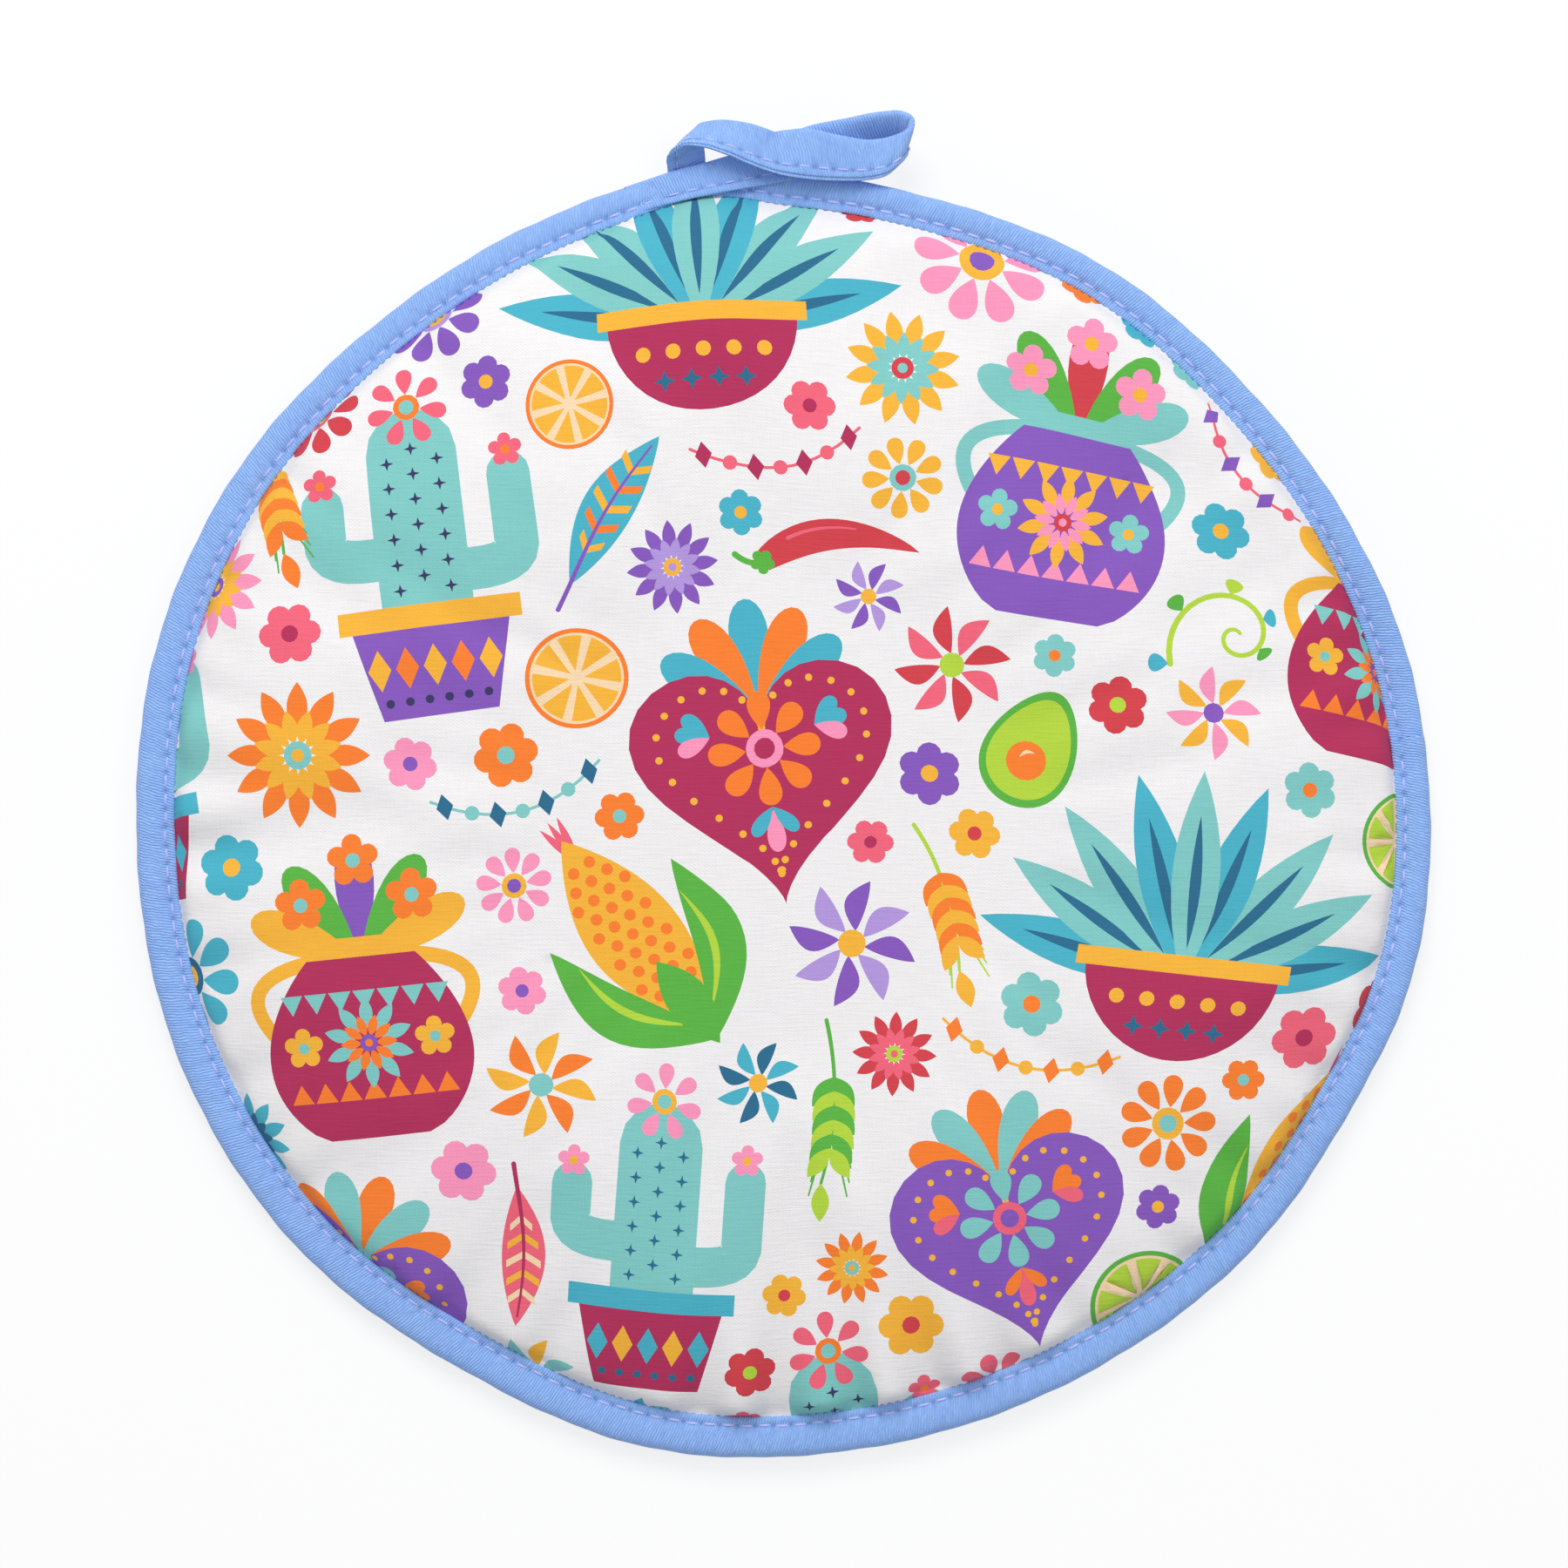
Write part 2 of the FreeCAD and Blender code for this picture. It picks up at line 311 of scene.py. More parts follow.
def feather(length, vane, bar, tip, quill):
    """A feather with barred sides."""
    sway = 0.05 * length
    body = leaf(length, 0.3 * length, sway, 22)
    parts = [(vane, body)]
    for number in range(5):
        t = 0.2 + 0.13 * number
        at = length * t + 1j * sway * math.sin(math.pi * t)
        wide = 0.12 * length * math.sin(math.pi * t) ** 0.9
        for way in (1, -1):
            bar_shape = [0, 0.05 * length, way * 1j * wide + 0.12 * length, way * 1j * wide + 0.07 * length]
            parts.append((tip if number % 2 else bar, even(np.array(bar_shape) + at)))
    spine = np.linspace(-0.16, 0.93, 20)
    return parts + [(quill, stroke(length * spine + 1j * sway * np.sin(np.pi * spine), 1.1, 0.5))]


def scroll(size, stem, leaves):
    """A tendril that curls in at its end, with leaves along its back."""
    turn = np.linspace(0, 2.9 * np.pi, 54)
    path = 0.042 * size * np.exp(0.27 * turn) * np.exp(1j * turn)
    parts = [(stem, stroke(path, 0.9, 1.4))]
    for number, step in enumerate((30, 36, 42, 48, 53)):
        outward = np.degrees(np.angle(path[step])) - 28
        colour = leaves[number % len(leaves)]
        frond = 0.5 + drop(0.075 * size * (1 + 0.2 * number), 4.4)
        parts.append((colour, path[step] + spin(frond, outward)))
    return parts


def beads(span, sag, count, bead, diamond, cord):
    """A string of beads and diamonds that sags between its ends."""
    path = curve(-span / 2, -2j * sag, span / 2, 2 * count + 1)
    parts = [(cord, stroke(path, 0.7))]
    for number in range(count):
        at = path[2 * number + 1]
        shape = disc(1.7) if number % 2 else star(2, 3.1, 2.0)
        parts.append((bead if number % 2 else diamond, at + shape))
    return parts


def folk_heart(size, main, dots, petal, collar, tip):
    """A heart with a beaded border, a flower in it and a plume of leaves on top."""
    motif = Motif(size)
    for turn, colour in ((90, tip), (62, petal), (118, petal), (36, tip), (144, tip)):
        motif.add(colour, drop(0.42, 0.15), turn, 0.2j)
    motif.add(main, heart(1))
    for bead in heart(0.8, 34) + 0.012j:
        motif.dot(dots, 0.014, bead)
    motif.lay(daisy(0.42 * size, petal, collar, main, 8), 0.06j)
    for way in (-1, 1):
        for turn, colour in ((0, tip), (34, collar), (-34, tip)):
            motif.add(colour, drop(0.13, 0.065), 90 + way * (78 + turn), way * -0.2 + 0.13j)
    motif.add(collar, drop(0.16, 0.07), -90, -0.17j)
    for way in (-1, 1):
        motif.add(tip, drop(0.13, 0.055), -90 + way * 40, -0.16j)
    return motif.parts


def cactus(size, body, spine, pot, band, trim, bloom):
    """A cactus with two arms in a banded pot."""
    motif = Motif(size)
    for way, low, high in ((1, -0.02, 0.2), (-1, 0.04, 0.16)):
        elbow = way * 0.28 + 1j * low
        bend = curve(way * 0.04 + 1j * (low - 0.05), way * 0.27 + 1j * (low - 0.08), elbow, 9)
        upright = np.linspace(elbow, elbow + 1j * (high - low), 6)[1:]
        motif.add(body, stroke(np.concatenate([bend, upright]), 0.13))
    motif.add(body, stroke(np.linspace(-0.2j, 0.3j, 12), 0.27))
    for level in range(6):
        for column in (-1, 0, 1):
            up = -0.12 + 0.078 * level + 0.039 * (column == 0)
            motif.add(spine, star(4, 0.021, 0.007), 0, column * 0.075 + 1j * up)
    for at in (0.28 + 0.27j, -0.28 + 0.23j):
        motif.lay(blossom(0.11 * size, bloom, trim), at)
    motif.lay(daisy(0.24 * size, bloom, trim, body, 7), 0.44j)
    motif.add(pot, [-0.17 - 0.5j, 0.17 - 0.5j, 0.24 - 0.2j, -0.24 - 0.2j])
    motif.add(band, [-0.27 - 0.235j, 0.27 - 0.235j, 0.27 - 0.165j, -0.27 - 0.165j])
    for number, along in enumerate(spaced(5, 0.082)):
        motif.add(trim if number % 2 else band, star(2, 0.062, 0.034), 0, along - 0.35j)
    for along in spaced(6, 0.058):
        motif.dot(spine, 0.013, along - 0.45j)
    return motif.parts


def jug(size, body, collar, band, mark, fruit, leafy):
    """A round jug with a patterned belly, holding a bunch of flowers."""
    height = np.linspace(-0.42, 0.16, 26)
    share = (height + 0.42) / 0.58
    half = 0.15 + 0.17 * np.sin(np.pi * share**0.85) ** 0.8 - 0.02 * share
    motif = Motif(size)
    for turn, colour in ((90, fruit), (55, leafy), (125, leafy), (25, collar), (155, collar)):
        motif.add(colour, drop(0.36, 0.12), turn, 0.12j)
    for at in (-0.17 + 0.3j, 0.17 + 0.3j, 0.42j):
        motif.lay(blossom(0.17 * size, mark, band), at)
    for way in (-1, 1):
        handle = curve(way * 0.12 + 0.13j, way * 0.42 + 0.1j, way * 0.29 - 0.08j, 16)
        motif.add(collar, stroke(handle, 0.045))
    motif.add(body, np.concatenate([half + 1j * height, (-half + 1j * height)[::-1]]))
    motif.add(collar, [-0.17 + 0.13j, 0.17 + 0.13j, 0.2 + 0.19j, -0.2 + 0.19j])
    for along in spaced(7, 0.074):
        motif.add(band, [-0.034, 0.034, -0.06j], 0, along + 0.03j)
        motif.add(mark, [-0.034, 0.034, 0.06j], 0, along - 0.3j)
    motif.lay(dahlia(0.27 * size, band, mark, fruit, 10), -0.13j)
    for way in (-1, 1):
        motif.lay(blossom(0.13 * size, collar, band), way * 0.2 - 0.13j)
    return motif.parts


def agave(size, leaf_a, leaf_b, edge, base, trim):
    """A fan of long pointed leaves over a shallow bowl."""
    motif = Motif(size)
    for turn in (12, 168, 30, 150, 50, 130, 72, 108, 90):
        motif.add(leaf_a if turn % 4 else leaf_b, leaf(0.66, 0.15), turn, -0.22j)
        motif.add(edge, 0.1 + leaf(0.42, 0.035), turn, -0.22j)
    motif.add(base, arc(0.3, 180, 360, -0.18j, 22))
    motif.add(trim, [-0.33 - 0.2j, 0.33 - 0.2j, 0.33 - 0.14j, -0.33 - 0.14j])
    for along in spaced(5, 0.095):
        motif.dot(trim, 0.024, along - 0.29j)
    for along in spaced(4, 0.085):
        motif.add(edge, star(4, 0.034, 0.014), 0, along - 0.38j)
    return motif.parts


def corn(size, cob, kernel, husk, husk_edge, silk):
    """A cob between its husks."""
    motif = Motif(size)
    for turn in (78, 90, 102):
        motif.add(silk, leaf(0.2, 0.03), turn, 0.36j)
    motif.add(cob, leaf(0.92, 0.36, 0, 20), 90, -0.45j)
    for level in range(11):
        up = -0.3 + 0.064 * level
        room = 0.15 * math.sin(math.pi * (up + 0.45) / 0.92)
        for column in ((-1, 0, 1) if level % 2 else (-1.5, -0.5, 0.5, 1.5)):
            if abs(column) * 0.075 < room:
                motif.dot(kernel, 0.023, column * 0.075 + 1j * up)
    for way in (1, -1):
        motif.add(husk, leaf(0.72, 0.2, way * -0.1, 18), 90 - way * 24, -0.5j)
        motif.add(husk_edge, 0.1 + leaf(0.5, 0.03, way * -0.075, 18), 90 - way * 24, -0.5j)
    motif.add(husk, leaf(0.4, 0.17), 90, -0.52j)
    return motif.parts


def chilli(size, skin, shine, stalk):
    """A curved pepper with its stalk."""
    path = curve(-0.42 + 0.1j, 0.06 + 0.26j, 0.46 - 0.2j, 20)
    width = 0.19 * np.sin(np.pi * (0.12 + 0.88 * np.linspace(0, 1, 20)) ** 0.8) ** 0.75
    way = np.gradient(path)
    side = 1j * way / np.abs(way) * width / 2
    motif = Motif(size)
    motif.add(skin, np.concatenate([path + side, (path - side)[::-1][1:]]))
    motif.add(shine, stroke(path[4:13] + side[4:13] * 0.44, 0.022, 0.01))
    motif.add(stalk, stroke(curve(path[0], path[0] - 0.08, path[0] - 0.13 + 0.1j, 8), 0.035))
    motif.add(stalk, lobed(0.09, 5, 0.3) * 0.8 + path[0])
    return motif.parts


def citrus(size, rind, pith, pulp):
    """A round slice with eight segments."""
    wedge = np.concatenate([[0.05], 0.41 * np.exp(1j * np.radians(np.linspace(-17, 17, 7)))]) + 0.02
    return [(rind, disc(0.5 * size)), (pith, disc(0.455 * size))] + around(pulp, wedge * size, 8, 22)


def avocado(size, skin, flesh, stone, glint):
    """Half a fruit, with its stone."""
    turn = 2 * np.pi * np.arange(48) / 48
    body = (0.36 - 0.09 * np.sin(turn)) * np.cos(turn) + 0.5j * np.sin(turn)
    stone_at = -0.12j * size
    return [
        (skin, body * size),
        (flesh, body * 0.86 * size - 0.005j * size),
        (stone, disc(0.16 * size, stone_at)),
        (glint, spin(leaf(0.13 * size, 0.03 * size, 0.03 * size), 40) + stone_at - 0.06 * size),
    ]


def inside(points, outline):
    """Which of the points lie in the outline, by counting its edges on their right."""
    found = np.zeros(len(points), bool)
    for a, b in zip(outline, np.roll(outline, -1)):
        crosses = (a.imag > points.imag) != (b.imag > points.imag)
        rise = b.imag - a.imag if b.imag != a.imag else 1.0
        found ^= crosses & (points.real < a.real + (points.imag - a.imag) * (b.real - a.real) / rise)
    return found


def in_outline(points, outline):
    """The numbers of the points in the outline. Only those near it are tried."""
    near = np.flatnonzero(
        (points.real > outline.real.min()) & (points.real < outline.real.max())
        & (points.imag > outline.imag.min()) & (points.imag < outline.imag.max())
    )
    return near[inside(points[near], outline)]


def filler(number, size):
    """The flower or slice that goes into the next gap in the print."""
    outer, inner, eye = (
        (ORANGE, GOLD, TEAL), (PINK, GOLD, PURPLE), (PURPLE, LILAC, GOLD), (CORAL, CREAM, MAGENTA),
        (CYAN, OCEAN, GOLD), (RED, CORAL, LIME), (GOLD, TEAL, RED), (TEAL, CYAN, ORANGE),
    )[number % 8]
    if size < 17:
        return blossom(size, outer, eye, 6)
    if size > 22 and number % 4 == 3:
        rind, pulp = (GREEN, LIME) if number % 8 == 3 else (ORANGE, GOLD)
        return citrus(0.92 * size, rind, CREAM, pulp)
    return (dahlia, daisy, pinwheel)[number % 3](size, outer, inner, eye)


def fill_gaps(parts, reach, step=2.0, gap=3.0, least=5.2, most=16.5):
    """Puts a flower in the middle of the widest bare patch, again and again, until none is wide enough."""
    line = np.arange(-reach, reach + 1, step)
    grid = (line[:, None] + 1j * line[None, :]).ravel()
    bare = grid[np.abs(grid) < reach]
    taken = np.zeros(len(bare), bool)
    for _, outline in parts:
        taken[in_outline(bare, outline)] = True
    bare = bare[~taken]
    room = reach + 12 - np.abs(bare)
    for point in np.concatenate([outline for _, outline in parts]):
        room = np.minimum(room, np.abs(bare - point))
    number = 0
    while True:
        widest = int(np.argmax(room))
        radius = min(room[widest] - gap, most)
        if radius < least:
            return parts
        middle = bare[widest]
        parts = parts + place(filler(number, 2 * radius), middle.real, middle.imag, 37.0 * number)
        room = np.minimum(room, np.abs(bare - middle) - radius)
        number += 1


def kitchen_garden_print():
    """The whole print, as outlines with their colours, each lying over the ones before it."""
    heart_red = folk_heart(62, MAGENTA, GOLD, ORANGE, PINK, CYAN)
    heart_purple = folk_heart(56, PURPLE, GOLD, TEAL, CORAL, ORANGE)
    pot_teal = cactus(78, TEAL, NAVY, PURPLE, GOLD, ORANGE, CORAL)
    pot_green = cactus(72, TEAL, OCEAN, MAGENTA, CYAN, GOLD, PINK)
    vase = jug(80, PURPLE, TEAL, GOLD, PINK, RED, GREEN)
    vase_red = jug(76, MAGENTA, GOLD, TEAL, ORANGE, PURPLE, GREEN)
    fan = agave(74, TEAL, CYAN, OCEAN, MAGENTA, GOLD)
    cob = corn(60, GOLD, ORANGE, GREEN, LIME, CORAL)
    parts = []
    for motif, x, y, turn in (
        (heart_red, -4, 12, 8), (pot_teal, -84, 62, 8), (vase, 68, 80, -10), (fan, 94, -22, -6),
        (vase_red, -96, -42, 6), (pot_green, -30, -98, -4), (heart_purple, 54, -98, 14), (fan, -20, 129, 4),
        (vase_red, 144, 44, -12), (pot_green, -158, 14, 10), (cob, 122, -86, -24),
        (heart_purple, -104, -116, -20), (pot_teal, 14, -160, 6), (cob, -34, -28, 38),
        (chilli(40, RED, CORAL, GREEN), 12, 62, 24),
        (avocado(29, GREEN, LIME, ORANGE, CREAM), 58, 16, -28),
        (feather(40, CYAN, GOLD, ORANGE, PURPLE), -50, 54, 58),
        (wheat(36, GOLD, ORANGE, LIME), 30, -2, -72),
        (scroll(34, LIME, [GREEN, CYAN, LIME]), 106, 42, 40),
        (wheat(38, LIME, GREEN, GREEN), 10, -48, -92),
        (feather(34, CORAL, CREAM, GOLD, MAGENTA), -62, -86, -92),
        (wheat(34, ORANGE, GOLD, GREEN), -130, 92, -66),
        (beads(42, 7, 7, GOLD, ORANGE, GOLD), 58, -52, -12),
        (beads(40, 7, 7, CORAL, MAGENTA, CORAL), -2, 88, 10),
        (beads(40, 7, 7, TEAL, OCEAN, TEAL), -62, 8, 14),
        (beads(36, 6, 6, CORAL, PURPLE, CORAL), 114, 86, -54),
    ):
        parts += place(motif, x, y, turn)
    parts = [(colour, even(outline)) for colour, outline in parts]
    return fill_gaps(parts, 150.0)


# Forms of the pouch: every height is in mm, and every point array has columns x, y and z.

def rim(angle):
    """The outer edge's distance from the middle, in mm."""
    at, out = zip(*RIM_UNEVEN)
    return DISC_RADIUS + through(at, out, np.degrees(angle), 360)


def tape_width(angle):
    """How wide the tape shows from above. It was sewn on a little off centre, and narrows at one end."""
    from_end = (np.degrees(angle) - TAPE_END_DEGREES + 180) % 360 - 180
    even_width = TAPE_WIDTH + TAPE_OFF_CENTRE * np.cos(angle - TAPE_WIDEST_AT)
    return even_width - TAPE_END_NARROWER * np.exp(-(from_end / TAPE_END_SPREAD) ** 2)


def polar(x, y):
    """The angle, and how far inside the rim."""
    angle = np.arctan2(y, x)
    return angle, rim(angle) - np.hypot(x, y)


def at_inset(angle, inset):
    reach = rim(angle) - inset
    return reach * np.cos(angle), reach * np.sin(angle)


def even_angles(count, shift=0.0):
    """Angles around the disc, all turned on by shift steps."""
    return 2 * np.pi * (np.arange(count) + shift) / count


def band_faces(rows, columns):
    """The four-sided faces between rows of points, each row a closed ring."""
    here = np.arange((rows - 1) * columns)
    after = here - here % columns + (here + 1) % columns
    return np.column_stack([here, after, after + columns, here + columns])


def lip_share(x, y):
    """0 on the sewn side of the fold and 1 past the bend."""
    return smooth((x * MOUTH_WAY[0] + y * MOUTH_WAY[1] - FOLD_REACH) / BEND_LENGTH)


def bulge(t, power=2.6, roundness=1.55):
    """How a stuffed panel rises from its sewn edge at 0 to its flat crown at 1."""
    t = np.clip(t, 0.0, 1.0)
    return (1 - (1 - t) ** power) ** (1 / roundness)


def lift(points):
    """Turns the front panel's lip up about the fold, as it rests."""
    along = points[:, :2] @ MOUTH_WAY - FOLD_REACH
    up = points[:, 2] - FOLD_POINT[2]
    angle = REST_LIFT * lip_share(points[:, 0], points[:, 1])
    moved = points.copy()
    moved[:, :2] += np.outer(along * np.cos(angle) - up * np.sin(angle) - along, MOUTH_WAY)
    moved[:, 2] = FOLD_POINT[2] + along * np.sin(angle) + up * np.cos(angle)
    return moved


def front_faces(x, y):
    """The front panel's lower and upper face before the lip is lifted."""
    angle, inset = polar(x, y)
    edge_low = BACK_EDGE_LOW + PANEL_EDGE_THICK + LIP_GAP * lip_share(x, y)
    rise = bulge((inset - tape_width(angle) - 0.15) / CROWN_WIDTH)
    low = edge_low + (FRONT_LOW_CROWN - edge_low) * rise
    top = edge_low + PANEL_EDGE_THICK + (FRONT_TOP_CROWN - edge_low - PANEL_EDGE_THICK) * rise
    return low, top


def back_faces(x, y):
    """The back panel's lower and upper face."""
    angle, inset = polar(x, y)
    rise = bulge((inset - tape_width(angle)) / FLOOR_WIDTH, 2.0, 1.0)
    edge_top = BACK_EDGE_LOW + PANEL_EDGE_THICK
    return BACK_EDGE_LOW * (1 - rise), edge_top + (BACK_THICK - edge_top) * rise


# The band of cover that the cloth simulation settles: mm from ring to ring, its rings and its columns.
BAND_STEP = 3.0
BAND_RINGS = 30
BAND_COLUMNS = 300
SETTLE_FRAMES = 26
FARTHEST_MOVE = 2.4
SIDEWAYS_SHARE = 0.45
TUCK_DEPTH_SCALE = 2.1

# Where the cover is drawn in at the tape: degrees, how wide and how deep in mm, and how far it runs in.
TUCKS = (
    (101.0, 2.6, 0.8, 9.0), (262.0, 4.4, 1.8, 20.0), (269.5, 5.0, 2.4, 26.0), (277.0, 4.2, 1.8, 18.0),
    (284.5, 5.2, 2.6, 24.0), (292.0, 4.4, 1.7, 18.0), (300.0, 4.2, 1.0, 16.0), (183.5, 5.0, 1.6, 20.0),
    (176.0, 4.6, 1.4, 18.0), (168.0, 4.0, 1.0, 15.0), (195.0, 4.6, 1.2, 18.0), (206.0, 4.4, 1.0, 16.0),
    (236.0, 4.6, 1.1, 17.0), (246.0, 4.2, 1.2, 16.0), (218.0, 4.4, 0.9, 15.0), (312.0, 4.4, 1.1, 17.0),
    (322.0, 4.4, 1.2, 18.0), (334.0, 4.6, 1.1, 18.0), (345.0, 4.2, 1.2, 18.0), (356.0, 4.4, 1.3, 18.0),
    (9.0, 4.2, 1.1, 16.0), (22.0, 4.0, 0.8, 14.0), (128.0, 4.0, 0.8, 13.0), (146.0, 4.2, 0.9, 15.0),
    (157.0, 4.0, 0.8, 14.0), (38.0, 4.4, 0.8, 14.0), (64.0, 4.2, 0.7, 13.0),
)


def settle_cover():
    """Lets the border of the stuffed cover wrinkle as real cloth does, between the tape and the crown.

    Returns how far each point of a ring by column band moves, in mm."""
    angle = np.tile(even_angles(BAND_COLUMNS), (BAND_RINGS, 1))
    inset = tape_width(angle) + BAND_STEP * np.arange(BAND_RINGS)[:, None]
    x, y = at_inset(angle.ravel(), inset.ravel())
    start = np.column_stack([x, y, front_faces(x, y)[1]]) * MM
    faces = band_faces(BAND_RINGS, BAND_COLUMNS)[:, [1, 2, 3, 0]].tolist()
    mesh = bpy.data.meshes.new("settling")
    mesh.from_pydata(start.tolist(), [], faces)
    band = bpy.data.objects.new("settling", mesh)
    bpy.context.scene.collection.objects.link(band)
    held = band.vertex_groups.new(name="held")
    last_ring = (BAND_RINGS - 1) * BAND_COLUMNS
    held.add([*range(BAND_COLUMNS), *range(last_ring, last_ring + BAND_COLUMNS)], 1, "ADD")
    cloth = band.modifiers.new("cloth", "CLOTH")
    cloth.settings.quality = 6
    cloth.settings.mass = 0.15
    cloth.settings.tension_stiffness = 20
    cloth.settings.compression_stiffness = 20
    cloth.settings.shear_stiffness = 8
    cloth.settings.bending_stiffness = 2.0
    cloth.settings.shrink_min = -0.012
    cloth.settings.vertex_group_mass = "held"
    cloth.settings.effector_weights.gravity = 0
    cloth.settings.use_pressure = True
    cloth.settings.uniform_pressure_force = 2.5
    cloth.point_cache.frame_start = 1
    cloth.point_cache.frame_end = SETTLE_FRAMES
    for number in range(1, SETTLE_FRAMES + 1):
        bpy.context.scene.frame_set(number)
    settled = band.evaluated_get(bpy.context.evaluated_depsgraph_get()).data
    end = np.empty(len(start) * 3)
    settled.vertices.foreach_get("co", end)
    bpy.data.objects.remove(band)
    bpy.data.meshes.remove(mesh)
    bpy.context.scene.frame_set(1)
    moved = (end.reshape(-1, 3) - start) / MM
    moved[:, :2] *= SIDEWAYS_SHARE
    far = np.linalg.norm(moved, axis=1)
    moved *= np.minimum(1, FARTHEST_MOVE / np.maximum(far, 1e-6))[:, None]
    moved = moved.reshape(BAND_RINGS, BAND_COLUMNS, 3)
    for _ in range(2):
        moved = (np.roll(moved, 1, axis=1) + 2 * moved + np.roll(moved, -1, axis=1)) / 4
    return moved


settled_band = settle_cover()


def wrinkles(x, y):
    """How the cover has moved at each point, in mm."""
    angle, inset = polar(x, y)
    row = (inset - tape_width(angle)) / BAND_STEP
    column = np.mod(angle, 2 * np.pi) / (2 * np.pi) * BAND_COLUMNS
    inner = np.clip(row, 0, BAND_RINGS - 1.001)
    r, c = inner.astype(int), column.astype(int)
    p, q = (inner - r)[:, None], (column - c)[:, None]
    c, d = c % BAND_COLUMNS, (c + 1) % BAND_COLUMNS
    near = (1 - q) * settled_band[r, c] + q * settled_band[r, d]
    far = (1 - q) * settled_band[r + 1, c] + q * settled_band[r + 1, d]
    moved = ((1 - p) * near + p * far) * ((row > 0) & (row < BAND_RINGS - 1))[:, None]
    past = np.maximum(row * BAND_STEP, 0)
    for degrees, wide, deep, reach in TUCKS:
        off = (np.degrees(angle) - degrees + 180) % 360 - 180
        beside = np.radians(off) * 145
        shape = np.exp(-(beside / wide) ** 2) - 0.35 * np.exp(-((np.abs(beside) - 2 * wide) / wide) ** 2)
        fade = smooth(past / 2.0) * np.exp(-past / reach * 1.6)
        moved[:, 2] -= deep * shape * fade * TUCK_DEPTH_SCALE
    return moved


# What a tuck leaves of the panel's thickness in mm, and how much of the cover's movement its lining makes.
LEAST_FILL = 2.0
LINING_SHARE = 0.35


def front_sheet(x, y, level):
    """Points in the front panel, from its lower face at 0 to its upper face at 1."""
    low, top = front_faces(x, y)
    moved = wrinkles(x, y)
    deepest = (top - low - LEAST_FILL) / (1 - LINING_SHARE)
    moved[:, 2] = np.where(moved[:, 2] < 0, deepest * np.tanh(moved[:, 2] / deepest), moved[:, 2])
    points = np.column_stack([x, y, low + (top - low) * level])
    return lift(points + moved * (LINING_SHARE + (1 - LINING_SHARE) * level))


# Meshes

def link(name, points, faces, material):
    """Makes an object from points in mm."""
    mesh = bpy.data.meshes.new(name)
    mesh.from_pydata((np.asarray(points) * MM).tolist(), [], faces)
    mesh.materials.append(material)
    mesh.shade_smooth()
    mesh.update()
    piece = bpy.data.objects.new(name, mesh)
    bpy.context.scene.collection.objects.link(piece)
    return piece


def lay_flat(piece, along, across):
    """Keeps each vertex's place on the flat cloth, in mm, for its weave."""
    layer = piece.data.attributes.new("cloth", "FLOAT_VECTOR", "POINT")
    layer.data.foreach_set("vector", np.column_stack([along, across, np.zeros(len(along))]).ravel())


def edge_loop(triangles):
    """The border of a patch of triangles, in order."""
    ways = np.concatenate([triangles[:, [0, 1]], triangles[:, [1, 2]], triangles[:, [2, 0]]]).tolist()
    known = {(a, b) for a, b in ways}
    after = {a: b for a, b in known if (b, a) not in known}
    loop = [min(after)]
    while after[loop[-1]] != loop[0]:
        loop.append(after[loop[-1]])
    return loop


SHEET_REACH = 160


def hexagons(step):
    """Evenly spread points over the disc."""
    rows = np.arange(-SHEET_REACH, SHEET_REACH, step * 0.866)
    line = np.arange(-SHEET_REACH, SHEET_REACH, step)
    return np.concatenate([line + (number % 2) * step / 2 + 1j * row for number, row in enumerate(rows)])


# Points of a sheet that lie nearer to each other than this, in mm, become one.
MERGE_NEARER = 0.02


def triangulate(border, lines, spots):
    """Triangles inside the border that keep its edges and those of the lines."""
    points = [border] + lines + [spots]
    edges = []
    start = 0
    for outline in points[:-1]:
        number = start + np.arange(len(outline))
        edges.append(np.column_stack([number, np.roll(number, -1)]))
        start += len(outline)
    flat = [Vector((p.real, p.imag)) for p in np.concatenate(points)]
    result = delaunay_2d_cdt(flat, np.concatenate(edges).tolist(), [], 0, MERGE_NEARER, False)
    where = np.array([[v.x, v.y] for v in result[0]])
    where = where[:, 0] + 1j * where[:, 1]
    triangles = np.array([f for f in result[2] if len(f) == 3])
    middle = where[triangles].mean(axis=1)
    keep = np.zeros(len(triangles), bool)
    keep[in_outline(middle, border)] = True
    triangles = triangles[keep]
    used, number = np.unique(triangles, return_inverse=True)
    return where[used], number.reshape(-1, 3)


RIM_MEAN = DISC_RADIUS - 1.2
TAPE_MEAN = 9.0
EDGE_MEAN = 6.8


def profile_line():
    """Radii from above, and the length of cloth from the middle out to each, along the cover's face."""
    radius = np.linspace(0, RIM_MEAN - PANEL_INSET, 700)
    rise = bulge((RIM_MEAN - radius - TAPE_MEAN) / CROWN_WIDTH) * (FRONT_TOP_CROWN - EDGE_MEAN)
    length = np.concatenate([[0], np.cumsum(np.hypot(np.diff(radius), np.diff(rise)))])
    return radius, length


PROFILE = profile_line()


def laid(outline):
    """Where a point of the flat print comes to lie, seen from above."""
    radius = np.interp(np.abs(outline), PROFILE[1], PROFILE[0], right=PROFILE[0][-1] + 20)
    angle = np.angle(outline)
    return radius * rim(angle) / RIM_MEAN * np.exp(1j * angle)


def unlaid(where):
    """The flat cloth's place of a point seen from above."""
    angle = np.angle(where)
    radius = np.abs(where) * RIM_MEAN / rim(angle)
    return np.interp(radius, PROFILE[0], PROFILE[1]) * np.exp(1j * angle)


